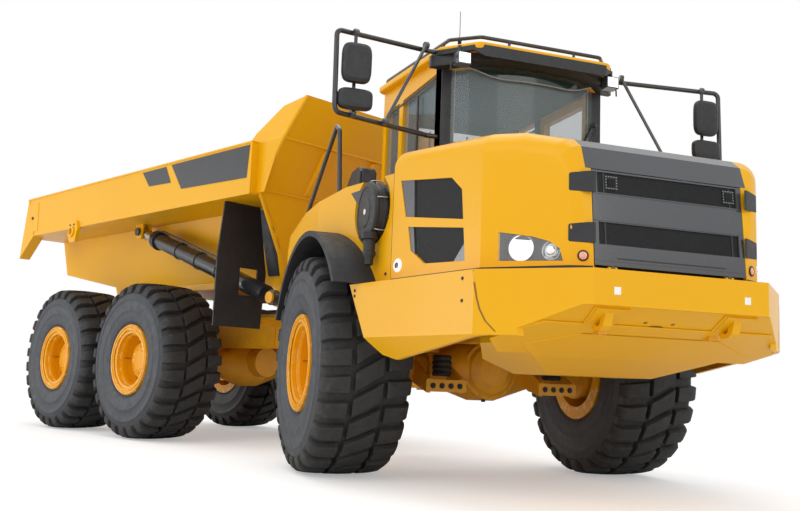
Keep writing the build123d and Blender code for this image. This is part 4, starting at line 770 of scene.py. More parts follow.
seams = Form()
for name, side in SIDES.items():
    at = flank(side, BUMPER_PLAN)
    seam = [(2.404, 1.486), (2.414, 1.40), (2.426, 1.31), (2.440, 1.24), (2.466, 1.17),
            (2.510, 1.106)]
    for (x0, z0), (x1, z1) in zip(seam, seam[1:]):
        seams.prism([(x0 - 0.004, z0), (x1 - 0.004, z1), (x1 + 0.004, z1), (x0 + 0.004, z0)],
                    (-0.0008, 0.004), at)
    bolts = Form()
    away = Vector((0.24, side * 0.97, 0)).normalized()
    spots = ((1.02, 1.44), (1.02, 1.40), (2.30, 1.44), (2.30, 1.30))
    bolts.bolts([at(x, z, 0.0) for x, z in spots], away, 0.008)
    bolts.done(f"bumper_bolts_{name}", FRAME_GREY, "tractor", slot="dark_grey_paint", bevel=0)
for a, b in (((-0.37, 0.245), (0.37, 0.245)), ((0.37, 0.20), (0.37, 0.245))):
    seams.prism(rect(a[0] - 0.003, a[1] - 0.003, b[0] + 0.003, b[1] + 0.003),
                (-0.003, 0.0008), on_slope)
down_slope = Vector(on_slope(0, 0, 1)) - Vector(on_slope(0, 0, 0))
for y in (-0.153, 0.047):
    seams.turned([(0.013, -0.003), (0.013, 0.0008)], on_slope(y, 0.155, 0.0), down_slope, 20)
slot = [(-0.053 + 0.05 * math.cos(t * math.pi / 12), 0.195 + 0.016 * math.sin(t * math.pi / 12))
        for t in range(24)]
seams.prism(slot, (-0.003, 0.0008), on_slope)
seams.done("bumper_seams", SEAM, "tractor", slot="yellow_paint", bevel=0)

# Cab: dark corner posts, window seals, lamps, wiper and aerial

SCREEN_NOSE_X = 0.99
SCREEN_CORNER = (0.875, 0.565)
SCREEN_SIDE = (0.70, 0.75)


def screen_point(y, z, out=0.0):
    """A point on the bowed windscreen or on the short flat beside it."""
    corner_x, half = SCREEN_CORNER
    if abs(y) > half:
        share = (abs(y) - half) / (SCREEN_SIDE[1] - half)
        x = corner_x - share * (corner_x - SCREEN_SIDE[0])
        return (x + out * 0.7, y + math.copysign(out * 0.7, y), z)
    bow = SCREEN_NOSE_X - corner_x
    radius = (half ** 2 + bow ** 2) / (2 * bow)
    turn = math.asin(y / radius)
    return (SCREEN_NOSE_X - radius + (radius + out) * math.cos(turn),
            (radius + out) * math.sin(turn), z)


posts = Form()
for side in SIDES.values():
    for x0, x1, z0, z1 in ((0.605, 0.735, 2.50, 3.42), (0.15, 0.185, 2.62, 3.30)):
        if x0 < 0.5 and side > 0:
            continue
        posts.prism(rect(x0, z0, x1, z1), (side * 0.744, side * 0.757), from_side)
    for z in (2.555, 3.335):
        posts.prism(rect(-0.70, z - 0.012, 0.62, z + 0.012),
                    (side * 0.747, side * 0.754), from_side)
    posts.prism([(0.735, 0.744), (0.735, 0.757), (0.605, 0.757), (0.605, 0.744)],
                (2.5, 3.42), lambda a, b, c: (a, side * b, c))
    posts.prism(rect(0.728, 0.640, 0.742, 0.757), (2.5, 3.42), lambda a, b, c: (a, side * b, c))
posts.done("cab_posts", [BLACK], "tractor", slot="black_plastic", bevel=0.004)

band = Form()
rows = []
for k in range(25):
    y = -0.60 + 1.20 * k / 24
    dip = 3.272 + 0.14 * max(0.0, abs(y) / 0.60 - 0.55) ** 1.3 * 2.2
    rows.append((y, dip))
for (y0, z0), (y1, z1) in zip(rows, rows[1:]):
    corners = [screen_point(y0, z0, 0.002), screen_point(y1, z1, 0.002),
               screen_point(y1, 3.40, 0.002), screen_point(y0, 3.40, 0.002)]
    band.add(corners, [[0, 1, 2, 3]], 0)
band.done("windscreen_band", TINT, "tractor", slot="glass", bevel=0)
trim = Form()
trim.tube([screen_point(y, z, 0.006) for y, z in rows[::2]], 0.006, 6, 0.05)
trim.done("windscreen_trim", GREY_TRIM, "tractor", slot="dark_grey_paint", bevel=0)

lamps = Form()
for side in SIDES.values():
    x, y, z = 1.01, side * 0.688, 3.375
    lamps.prism(rect(y - 0.058, z - 0.05, y + 0.058, z + 0.05), (x - 0.06, x + 0.034), from_front)
    lamps.prism(rect(y - 0.048, z - 0.040, y + 0.048, z + 0.040), (x + 0.030, x + 0.040),
                from_front, 1)
    for k in range(5):
        front = x - 0.071 + k * 0.006
        lamps.prism(rect(y - 0.05, z - 0.045, y + 0.05, z + 0.045), (front - 0.003, front),
                    from_front)
    lamps.prism(rect(x - 0.06, z + 0.05, x - 0.02, z + 0.12), (y - 0.03, y + 0.03), from_side, 2)
    lamps.tube([(x - 0.05, y + side * 0.055, z - 0.02), (x - 0.05, y + side * 0.085, z - 0.03),
                (x - 0.045, y + side * 0.085, z - 0.09)], 0.007, 8, 0.02, 2)
bright = lamps.done("work_lamps_lit", [DARK_GREY, BEAM, FRAME_GREY], "tractor",
                    slot="lamp_glass", bevel=0.003)
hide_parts("work_lamps")

wiper = Form()
wiper.turned([(0.02, -0.02), (0.02, 0.02), (0.012, 0.03)], screen_point(0.62, 3.04, 0.01),
             (0.7, 0.7, 0), 16)
wiper.tube([screen_point(0.62, 3.04, 0.03), screen_point(0.60, 2.98, 0.045),
            screen_point(0.50, 2.84, 0.03)], 0.006, 8, 0.02)
wiper.tube([screen_point(0.63, 3.02, 0.03), screen_point(0.61, 2.96, 0.045),
            screen_point(0.48, 2.80, 0.03)], 0.004, 8, 0.02)
wiper.prism([(0.62, 3.06), (0.36, 2.66), (0.368, 2.65), (0.632, 3.05)], (0.004, 0.02),
            screen_point)
wiper.done("wiper", BLACK, "tractor", slot="black_plastic", bevel=0)

aerial = Form()
aerial.turned([(0.016, 0.0), (0.016, 0.03), (0.010, 0.045), (0.006, 0.06)],
              (0.86, -0.66, 3.555), (0, 0, 1), 16)
aerial.turned([(0.0032, 0.0), (0.0026, 0.225)], (0.86, -0.66, 3.61), (0, 0, 1), 8)
aerial.done("aerial", BLACK, "tractor", slot="black_plastic", bevel=0)

# Air cleaner on the right, with its raised rim, clips and dust outlet

cleaner = Form()
centre = Vector((0.98, -1.2, 2.05))
out = Vector((0, -1, 0))
cleaner.turned([(0.215, 0.0), (0.228, 0.01), (0.228, 0.05), (0.215, 0.06), (0.215, 0.13),
                (0.232, 0.135), (0.232, 0.162), (0.222, 0.170), (0.222, 0.205),
                (0.234, 0.212), (0.234, 0.232), (0.226, 0.243), (0.190, 0.249),
                (0.186, 0.243), (0.120, 0.244), (0.114, 0.250), (0.030, 0.250)],
               centre, out, 72)
cleaner.turned([(0.024, 0.250), (0.020, 0.254), (0.006, 0.255)], centre, out, 24, 1)
for spoke in circle(6, 1.0, lambda a, b: Vector((a, 0, b)), 1 / 3):
    spot = centre + spoke * 0.236
    cleaner.tube([spot + out * 0.12, spot + out * 0.14 + spoke * 0.008,
                  spot + out * 0.20 + spoke * 0.008, spot + out * 0.225], 0.005, 8, 0.01, 2)
for spot in circle(16, 0.160, lambda a, b: centre + Vector((a, 0, b))):
    cleaner.turned([(0.004, 0.240), (0.003, 0.2465)], spot, out, 8)
outlet = centre + Vector((0.10, -0.235, -0.195))
cleaner.turned([(0.050, 0.0), (0.046, 0.04), (0.044, 0.12), (0.050, 0.125), (0.050, 0.15),
                (0.036, 0.17), (0.033, 0.22), (0.016, 0.228)], outlet, (0.05, 0, -1), 32)
cleaner.turned([(0.07, -0.02), (0.062, 0.03), (0.05, 0.035)], outlet, (0.05, 0, -1), 32)
cased = cleaner.done("air_cleaner_case", [BLACK, WHITE, STEEL], "tractor", slot="black_plastic",
                     bevel=0.002)
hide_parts("air_cleaner")

# Mirrors: rounded cases with glass, clamps and struts

MIRRORS = (
    # low, high, half width
    (3.01, 3.325, 0.118), (2.80, 2.965, 0.138),
)
MIRROR_Y = 1.60
MIRROR_STEPS = 40
MIRROR_SQUARENESS = 0.45
# Rings of a case from its glass to its back: depth behind the tube, share of the full outline
MIRROR_RINGS = ((0.020, 0.90), (0.034, 0.985), (0.055, 1.0), (0.078, 0.96), (0.092, 0.80),
                (0.097, 0.50))


def squared(value):
    """Pushes a circle's coordinate out towards a rounded rectangle's."""
    return math.copysign(abs(value) ** MIRROR_SQUARENESS, value)


for name, side in SIDES.items():
    cases, glass = Form(), Form()
    middle_y = side * MIRROR_Y
    for low, high, half in MIRRORS:
        middle = (low + high) / 2
        tall = (high - low) / 2
        points = []
        for depth, grow in MIRROR_RINGS:
            points += circle(MIRROR_STEPS, 1.0, lambda a, b: (
                1.04 + depth, middle_y + squared(a) * half * grow, middle + squared(b) * tall * grow))
        rings = len(MIRROR_RINGS)
        cases.add(points, skin(rings, MIRROR_STEPS) + caps(rings, MIRROR_STEPS))
        glass.add([(x - 0.003, middle_y + (y - middle_y) * 0.93, middle + (z - middle) * 0.93)
                   for x, y, z in points[:MIRROR_STEPS]], [list(range(MIRROR_STEPS))])
        for z in (low + 0.04, high - 0.04):
            cases.prism(rect(z - 0.018, -0.03, z + 0.018, 0.03), (1.022, 1.062),
                        lambda a, b, c: (c, side * 1.60 + b, a))
            cases.bolts([(1.064, side * 1.60 + 0.02, z)], (1, 0, 0), 0.006)
    body = cases.done(f"mirror_cases_{name}", BLACK, "tractor", slot="mirror_case", bevel=0)
    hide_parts("mirrors")
    pane = glass.done(f"mirror_glass_{name}", MIRROR, "tractor", slot="mirror_case", bevel=0)
    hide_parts("mirrors")
    struts = Form()
    struts.tube([(0.80, side * 0.93, 3.52), (0.93, side * 1.30, 2.79)], 0.014, 10)
    for spot in ((0.80, side * 0.93, 3.52), (0.93, side * 1.30, 2.79), (1.04, side * 1.60, 3.43),
                 (1.04, side * 1.60, 2.785)):
        struts.turned([(0.027, -0.018), (0.030, -0.012), (0.030, 0.012), (0.027, 0.018)], spot,
                      (0.25, side * 0.95, -0.1), 16)
        struts.bolts([(spot[0] + 0.03, spot[1], spot[2])], (1, 0, 0), 0.006)
    struts.done(f"mirror_struts_{name}", DARK_GREY, "tractor", slot="dark_grey_paint", bevel=0)

# Folded plate that closes the bumper's underside

under = Form()
outline = [(2.70, -0.84), (2.70, 0.84), (2.45, 1.07), (2.30, 0.95), (2.30, -0.95), (2.45, -1.07)]
under.prism(outline, (0.003, 0.013), lambda x, y, lift: (x, y, 1.145 + 0.442 * (x - 2.648) + lift))
under.done("bumper_underside", YELLOW, "tractor", slot="yellow_paint", bevel=0.003)

# Eye plates flush on the leaning lower front

for name, side in SIDES.items():
    eye = Form()
    middle = side * 0.467
    for depth, grow in (((-0.004, 0.010), 1.0), ((0.010, 0.014), 0.86)):
        eye.prism([(middle - 0.125 * grow, 0.012), (middle + 0.125 * grow, 0.012),
                   (middle + 0.10 * grow, 0.242 * grow), (middle - 0.10 * grow, 0.242 * grow)],
                  depth, on_slope)
    eye.done(f"tow_plate_{name}", YELLOW, "tractor", slot="yellow_paint", bevel=0.003)

# Roof: black brow over the windscreen

# Faces of a block given by its four front corners and the four behind them
BLOCK_FACES = [[0, 1, 2, 3], [4, 7, 6, 5], [0, 4, 5, 1], [3, 2, 6, 7], [0, 3, 7, 4], [1, 5, 6, 2]]

brow = Form()
line = [(0.66, 0.825), (0.79, 0.826), (1.095, 0.636), (1.146, 0.555), (1.147, 0.0)]
line += [(x, -y) for x, y in reversed(line[:-1])]
for (x0, y0), (x1, y1) in zip(line, line[1:]):
    inner = [(x0 - 0.03, y0 * 0.97), (x1 - 0.03, y1 * 0.97)]
    tops = [3.660 - 0.08 * (x + 0.86) for x in (x0, x1)]
    low = [top - 0.066 + 0.05 * (abs(y) > 0.6) for top, y in zip(tops, (y0, y1))]
    brow.add([(x0, y0, tops[0] - 0.030), (x1, y1, tops[1] - 0.030), (x1, y1, low[1] - 0.055),
              (x0, y0, low[0] - 0.055), (*inner[0], tops[0] - 0.03), (*inner[1], tops[1] - 0.03),
              (*inner[1], low[1] - 0.055), (*inner[0], low[0] - 0.055)],
             BLOCK_FACES)
brow.done("roof_brow", BLACK, "tractor", slot="black_plastic", bevel=0)

# Cab lining, seen through the glass

lining = Form()
lining.box((-0.735, -0.69, 1.72), (-0.725, 0.69, 2.62))
lining.box((-0.735, -0.69, 3.28), (-0.725, 0.69, 3.40))
for side in SIDES.values():
    lining.box((-0.735, min(side * 0.40, side * 0.69), 2.62),
               (-0.725, max(side * 0.40, side * 0.69), 3.28))
    for x0, x1 in ((-0.72, -0.70), (-0.33, -0.24), (0.62, 0.66)):
        lining.box((x0, min(side * 0.675, side * 0.688), 2.5),
                   (x1, max(side * 0.675, side * 0.688), 3.39))
lining.box((-0.70, -0.66, 3.385), (0.80, 0.66, 3.40))
lining.box((-0.70, -0.60, 1.703), (0.60, 0.60, 1.712))
lining.tube([(-0.68, -0.30, 2.66), (-0.68, -0.30, 3.24)], 0.008, 8)
lining.tube([(-0.68, 0.10, 2.66), (-0.68, 0.10, 3.24)], 0.008, 8)
lining.done("cab_lining", LINING, "tractor", slot="black_plastic", bevel=0)
rest = Form()
rest.prism([(-0.13, 2.90), (0.13, 2.90), (0.11, 3.10), (-0.11, 3.10)], (-0.47, -0.37),
           from_front)
for side in SIDES.values():
    rest.box((-0.32, side * 0.30 - 0.04, 2.40), (0.02, side * 0.30 + 0.04, 2.47))
    rest.tube([(-0.42, side * 0.06, 2.80), (-0.42, side * 0.06, 2.95)], 0.009, 8)
rest.done("seat_rests", FABRIC, "tractor", slot="seat_fabric", bevel=0.02, segments=3)
dash = Form()
dash.prism([(0.60, 2.56), (0.80, 2.50), (0.82, 2.44), (0.58, 2.44)], (-0.46, 0.46),
           from_side)
dash.box((0.55, -0.42, 2.56), (0.58, -0.20, 2.78))
dash.tube([(0.60, -0.31, 2.50), (0.57, -0.31, 2.62)], 0.015, 8)
for k in range(5):
    dash.turned([(0.014, 0.0), (0.012, 0.012)], (0.585, -0.12 + 0.06 * k, 2.50), (-1, 0, 0.2), 16)
dash.done("dashboard", BLACK, "tractor", slot="black_plastic", bevel=0.006)

# Cab door: handle, sill plate and seals

door_parts = Form()
door_parts.tube([(0.44, 0.762, 2.42), (0.44, 0.80, 2.42), (0.44, 0.80, 2.24), (0.44, 0.762, 2.24)],
                0.009, 10, 0.02)
door_parts.box((0.405, 0.749, 2.20), (0.475, 0.760, 2.46))
door_parts.box((-0.20, 0.749, 2.09), (0.58, 0.756, 2.16))
for x0, x1, z0, z1 in ((-0.185, -0.168, 2.25, 3.31), (0.538, 0.555, 2.25, 3.31)):
    door_parts.box((x0, 0.747, z0), (x1, 0.757, z1))
for z0, z1 in ((2.245, 2.262), (3.300, 3.317)):
    door_parts.box((-0.185, 0.747, z0), (0.555, 0.757, z1))
door_parts.done("door_parts", BLACK, "door", slot="black_plastic", bevel=0.003)

# Shoulders beside the cab: inlet, blank plate, cowl mesh and bolts

inlet = Form()
inlet.prism([(-0.46, 2.30), (0.20, 2.34), (0.21, 2.55), (0.14, 2.60), (-0.04, 2.59)],
            (-1.27, -1.12), from_side)
inlet.prism(rect(0.216, 2.37, 0.230, 2.57), (-1.255, -1.135), from_side)
inlet.tube([(-0.40, -1.20, 2.33), (-0.62, -1.20, 2.30), (-0.66, -1.20, 2.20)], 0.045, 14, 0.08)
inlet.done("air_inlet", BLACK, "tractor", slot="black_plastic", bevel=0.014, segments=3)
FENDER_PLAN = [(-0.97, 1.60), (0.0, 1.56), (0.95, 1.385), (1.29, 1.33)]
plate = Form()
plate.prism([(0.60, 2.262), (0.92, 2.262), (0.845, 2.205), (0.785, 2.10)], (-0.004, 0.002),
            flank(-1, FENDER_PLAN))
plate.done("shoulder_plate_right", PLATE, "tractor", slot="dark_grey_paint", bevel=0)
for name, side in SIDES.items():
    at = flank(side, FENDER_PLAN)
    bolts = Form()
    away = Vector((0.1, side, 0)).normalized()
    spots = [(-0.90, 1.62), (-0.90, 1.80), (-0.60, 1.98), (1.22, 1.56), (1.22, 1.98)]
    bolts.bolts([at(x, z, 0.0) for x, z in spots], away, 0.009)
    bolts.done(f"fender_bolts_{name}", FRAME_GREY, "tractor", slot="dark_grey_paint", bevel=0)
    mesh = Form()

    def on_cowl(x, along, out):
        """Lays (x, distance down the cowl's slant, out) on one side of the cowl."""
        return (x, side * (1.05 + along * 0.763 + out * 0.646), 2.42 - along * 0.646 + out * 0.763)

    window = [(0.80, 0.15), (1.26, 0.02), (1.27, 0.15)]
    mesh.prism(window, (0.001, 0.004), on_cowl)
    mesh.lattice(window, 0.014, 0.0016, (0.004, 0.007), on_cowl, 1)
    mesh.done(f"cowl_mesh_{name}", [BLACK, DARK_GREY], "tractor", slot="dark_grey_paint", bevel=0)
    flap = Form()
    flap.prism([(1.02, -0.35), (1.20, -0.35), (1.26, -0.10), (1.24, -0.01), (1.04, -0.01)],
               (0.0, 0.022), lambda a, b, c: (a, side * (1.05 + b), 2.448 - 0.06 * (b + 0.35) + c))
    flap.done(f"cowl_cover_{name}", YELLOW, "tractor", slot="yellow_paint", bevel=0.01,
              segments=3)

# Dark strip in rubber paint along the hood's lower edge, a painted shadow of the gap above the bumper,
# and the dark line at the hood's rear edge

# painted shadow: a dark strip on the hood just above the bumper's top edge, where the gap's shade falls
gap_shadow = Form()
for side in SIDES.values():
    at = flank(side)
    for x0, x1 in ((1.302, 2.30), (2.30, 2.74), (2.74, 2.797)):
        gap_shadow.prism(rect(x0, 1.4988, x1, 1.517), (-0.0015, 0.02), at)
gap_shadow.done("hood_gap_shadow", RUBBER, "hood", slot="black_rubber", bevel=0)

gaps = Form()
for side in SIDES.values():
    at = flank(side, FENDER_PLAN)
    gaps.prism(rect(1.2915, 1.50, 1.2985, 2.30), (0.001, 0.02), at)
gaps.done("panel_gaps", BLACK, "tractor", slot="black_plastic", bevel=0)

# Grip studs on the left deck and footholds

deck = Form()
for row in range(7):
    for place in range(12):
        deck.turned([(0.014, 0.0), (0.012, 0.005)], (-0.72 + 0.15 * place, 0.98 + 0.075 * row,
                                                     2.035), (0, 0, 1), 8)
for z in (1.160, 1.320):
    for k in range(9):
        deck.turned([(0.010, 0.0), (0.008, 0.004)], (1.19 + 0.034 * k, 1.43, z), (0, 0, 1), 8)
deck.done("grip_studs", FRAME_GREY, "tractor", slot="dark_grey_paint", bevel=0)

# Wheels: lock rings, hub bolts and valves

for axle, x, unit in WHEELS:
    for side, sign in SIDES.items():
        place = wheel_place(x, unit, sign)
        hub = Form()
        hub.turned([(0.398, 0.345), (0.401, 0.352), (0.394, 0.360), (0.380, 0.358), (0.376, 0.348),
                    (0.362, 0.346), (0.358, 0.354), (0.346, 0.356), (0.340, 0.347)],
                   (0, 0, 0), (0, 1, 0), 72, 0, True)
        hub.turned([(0.300, 0.30), (0.292, 0.30), (0.284, 0.27), (0.288, 0.20), (0.282, 0.16),
                    (0.270, 0.13), (0.294, 0.13)], (0, 0, 0), (0, 1, 0), 64, 0, True)
        hub.turned([(0.262, 0.119), (0.262, 0.128), (0.224, 0.134), (0.220, 0.125)], (0, 0, 0),
                   (0, 1, 0), 64, 0, True)
        hub.turned([(0.168, 0.185), (0.168, 0.198), (0.150, 0.206), (0.120, 0.208),
                    (0.116, 0.214), (0.060, 0.216)], (0, 0, 0), (0, 1, 0), 48)
        hub.bolts(circle(20, 0.243, lambda a, b: (a, 0.131, b), 0.5), (0, 1, 0), 0.013)
        hub.bolts(circle(12, 0.140, lambda a, b: (a, 0.206, b)), (0, 1, 0), 0.010)
        hub.tube([(0.286, 0.16, 0.02), (0.262, 0.20, 0.02), (0.262, 0.25, 0.02)], 0.006, 8, 0.02,
                 1)
        hub.done(f"hub_{axle}_{side}", [RIM_YELLOW, STEEL], f"wheel_{axle}_{side}", place,
                 "yellow_paint", bevel=0)

# Front axle: cover, flanges, link brackets and drain plug

axle_parts = Form()
axle_parts.turned([(0.252, 0.0), (0.252, 0.022), (0.226, 0.030), (0.200, 0.065), (0.130, 0.105),
                   (0.05, 0.12)], (0.185, 0, AXLE_HEIGHT), (1, 0, 0), 48)
axle_parts.bolts(circle(16, 0.238, lambda a, b: (0.207, a, AXLE_HEIGHT + b)), (1, 0, 0), 0.012)
for side in SIDES.values():
    for reach, radius in ((0.53, 0.175), (0.97, 0.222)):
        axle_parts.turned([(radius, -0.02), (radius, 0.02), (radius - 0.02, 0.026)],
                          (0, side * reach, AXLE_HEIGHT), (0, side, 0), 48)
        spots = circle(14, radius - 0.018, lambda a, b: (a, side * (reach + 0.024), AXLE_HEIGHT + b))
        axle_parts.bolts(spots, (0, side, 0), 0.010)
    for y in (0.36, 0.65):
        axle_parts.prism([(0.10, 0.78), (0.44, 0.70), (0.46, 0.74), (0.46, 0.82), (0.36, 0.86),
                          (0.10, 0.98)], (side * y, side * (y + 0.03)),
                         from_side)
    low, high = sorted((side * 0.34, side * 0.70))
    axle_parts.box((0.44, low, 0.71), (0.475, high, 0.81))
    axle_parts.bolts([(0.475, side * (0.40 + 0.08 * k), 0.76) for k in range(4)], (1, 0, 0),
                     0.016, 1)
    axle_parts.turned([(0.075 + 0.012 * (k % 2), 0.022 * k) for k in range(9)],
                      (0.36, side * 0.52, 0.84), (0, 0, 1), 24, 1)
axle_parts.turned([(0.02, -0.003), (0.02, 0.014), (0.014, 0.016)], (0.08, 0, 0.645), (0, 0, -1),
                  6, 1)
axle_parts.done("front_axle_parts", [CAST, BLACK], "tractor", slot="cast_iron", bevel=0)

# Suspension struts: sleeves and bolts; frame rails: crossing bolts

strut_parts = Form()
for side in SIDES.values():
    for x in (-0.25, 0.25):
        strut_parts.turned([(0.063 + 0.008 * (k % 2), 0.018 * k) for k in range(18)],
                           (x, side * 0.60, 1.10), (0, 0, 1), 20)
        strut_parts.turned([(0.085, 0.0), (0.085, 0.03), (0.07, 0.036)], (x, side * 0.60, 1.50),
                           (0, 0, 1), 24, 1)
    spots = [(x, side * 0.4405, z) for x in (1.0, 1.12, 1.7, 1.82, 2.4, 2.5)
             for z in (1.18, 1.34)]
    strut_parts.bolts(spots, (0, side, 0), 0.013, 1)
strut_parts.done("strut_parts", [RUBBER, FRAME_GREY], "tractor", slot="black_rubber", bevel=0)

# Load unit: axle covers, frame plates and lamps at the tail

rear_parts = Form()
for x in (MIDDLE_AXLE_X, REAR_AXLE_X):
    rear_parts.turned([(0.250, 0.0), (0.250, 0.022), (0.222, 0.030), (0.190, 0.06),
                       (0.11, 0.09), (0.04, 0.10)], (x - 0.185, 0, AXLE_HEIGHT), (-1, 0, 0), 48)
    rear_parts.bolts(circle(16, 0.236, lambda a, b: (x - 0.207, a, AXLE_HEIGHT + b)), (-1, 0, 0), 0.012)
    for side in SIDES.values():
        rear_parts.turned([(0.222, -0.02), (0.222, 0.02), (0.20, 0.026)], (x, side * 0.97, AXLE_HEIGHT),
                          (0, side, 0), 48)
rear_parts.done("rear_axle_parts", CAST, "load_frame", LOAD_UNIT, "cast_iron", bevel=0)

chassis = Form()
for side in SIDES.values():
    face = side * 0.4305
    for x in (-2.75, -3.15, -3.9, -4.9, -5.9, -6.5):
        chassis.bolts([(x + a, face, z) for a in (-0.05, 0.05) for z in (1.18, 1.42)],
                      (0, side, 0), 0.013)
    for x in (-3.55, -5.45):
        low, high = sorted((side * 0.430, side * 0.442))
        chassis.box((x - 0.16, low, 1.13), (x + 0.16, high, 1.47))
    chassis.tube([(-2.3, side * 0.46, 1.38), (-3.2, side * 0.46, 1.53), (-6.4, side * 0.46, 1.53)],
                 0.018, 10, 0.1, 1)
    chassis.tube([(-2.3, side * 0.50, 1.34), (-3.2, side * 0.50, 1.51), (-6.2, side * 0.50, 1.51)],
                 0.012, 10, 0.1, 1)
chassis.done("frame_fittings", [CAST, RUBBER], "load_frame", LOAD_UNIT, "dark_grey_paint",
             bevel=0.003)
lamps = Form()
for side in SIDES.values():
    low, high = sorted((side * 0.36, side * 0.60))
    lamps.box((-6.965, low, 1.20), (-6.90, high, 1.36))
    for k, paint in ((0, 1), (1, 2)):
        lamps.turned([(0.045, -0.002), (0.045, 0.012), (0.030, 0.020), (0.010, 0.022)],
                     (-6.965, side * (0.42 + 0.12 * k), 1.28), (-1, 0, 0), 28, paint)
    lamps.tube([(-6.92, side * 0.40, 1.36), (-6.86, side * 0.38, 1.46)], 0.01, 8, 0.02)
lamps.done("tail_lamps", [BLACK, RED_LENS, ORANGE_LENS], "load_frame", LOAD_UNIT, "lamp_glass",
           bevel=0.004)

# Load body: rail edges, blank plates, ribs and pins

RAIL_EDGES = (
    # outline in side view, depths out from the rail's face
    (rect(-7.69, 3.122, -2.29, 3.142), (-0.09, 0.008)),
    (rect(-7.43, 2.592, -2.29, 2.606), (-0.10, 0.006)),
    ([(-7.69, 3.12), (-7.66, 3.12), (-7.42, 2.60), (-7.45, 2.60)], (-0.05, 0.007)),
    ([(-7.66, 3.06), (-7.34, 3.06), (-7.31, 2.66), (-7.50, 2.66)], (-0.002, 0.006)),
    (rect(-2.32, 2.60, -2.29, 3.13), (-0.09, 0.008)),
    ([(-2.31, 2.61), (-2.16, 2.61), (-1.93, 3.12), (-2.31, 3.12)], (-0.085, -0.075)),
)


RAIL_FACE_Y = 1.685


def on_rail(side):
    """Lays (x, z, out) on one side rail's outer face."""
    return lambda x, z, out: (x, side * (RAIL_FACE_Y + out), z)


def on_belly(side):
    """Lays (x, z, out) on the leaning wall under one side rail."""
    return lambda x, z, out: (x, side * (0.887 + (z - 1.85) * 0.2667 + out), z)


body = Form()
for side in SIDES.values():
    for outline, depths in RAIL_EDGES:
        body.prism(outline, depths, on_rail(side))
    body.bolts([on_rail(side)(-7.49, 2.85, 0.006)], (0, side, 0), 0.016, 1)
    route = [(-2.262, side * 1.592, 2.64), (-1.905, side * 1.592, 3.13),
             (-1.752, side * 1.445, 3.56)]
    body.tube(route, 0.022, 10, 0.02)
    body.tube([(-2.262, side * 1.592, 2.64), (-2.56, side * 0.93, 1.78)], 0.020, 10, 0.02)
    for reach, away in ((1.2075, -1), (1.2925, 1)):
        body.turned([(0.05, -0.01), (0.05, 0.012), (0.03, 0.016)],
                    (-5.15, side * (reach + 0.04 * away), 2.505), (0, side * away, 0), 28, 1)
    body.turned([(0.07, 0.0), (0.07, 0.02), (0.045, 0.024), (0.045, 0.0)],
                (-6.16, side * 1.72, 2.54), (0, side, 0), 28, 0, True)
    body.bolts([(-6.16 + a, side * 1.72, 2.54 + b) for a, b in ((-0.06, 0.09), (0.05, 0.09))],
               (0, side, 0), 0.010, 1)
for z, x in ((2.65, -2.252), (3.13, -1.897)):
    body.box((x - 0.02, -1.58, z - 0.012), (x + 0.012, 1.58, z + 0.012))
for y in (-1.0, -0.34, 0.34, 1.0):
    body.add([(-2.262, y - 0.05, 2.66), (-2.262, y + 0.05, 2.66), (-2.202, y + 0.03, 2.68),
              (-2.202, y - 0.03, 2.68), (-1.925, y - 0.05, 3.10), (-1.925, y + 0.05, 3.10),
              (-1.862, y + 0.03, 3.09), (-1.862, y - 0.03, 3.09)],
             BLOCK_FACES)
body.done("body_edges", [YELLOW, FRAME_GREY], "dump_body", LOAD_UNIT, "yellow_paint",
          bevel=0.004)

blank = Form()
for side in SIDES.values():
    for outline in ([(-3.84, 3.105), (-2.335, 3.105), (-2.365, 2.765), (-3.60, 2.80)],
                    [(-4.48, 3.10), (-3.955, 3.10), (-3.83, 2.90), (-4.31, 2.915)]):
        blank.prism(outline, (0.001, 0.004), on_rail(side))
blank.done("blank_plates", PLATE, "dump_body", LOAD_UNIT, "dark_grey_paint", bevel=0.0008)

# Black sheets on the belly between the flaps and the front wall: painted shade where the body's side
# lies in shadow
belly_shade = Form()
for side in SIDES.values():
    belly_shade.prism([(-2.95, 1.87), (-2.66, 1.87), (-2.40, 2.50), (-2.48, 2.585), (-2.95, 2.585)],
                (0.004, 0.014), on_belly(side))
belly_shade.done("belly_shade_sheets", RUBBER, "dump_body", LOAD_UNIT, "black_rubber", bevel=0)

# Hoist cylinders: pipes, clamps, gland rings and bolts

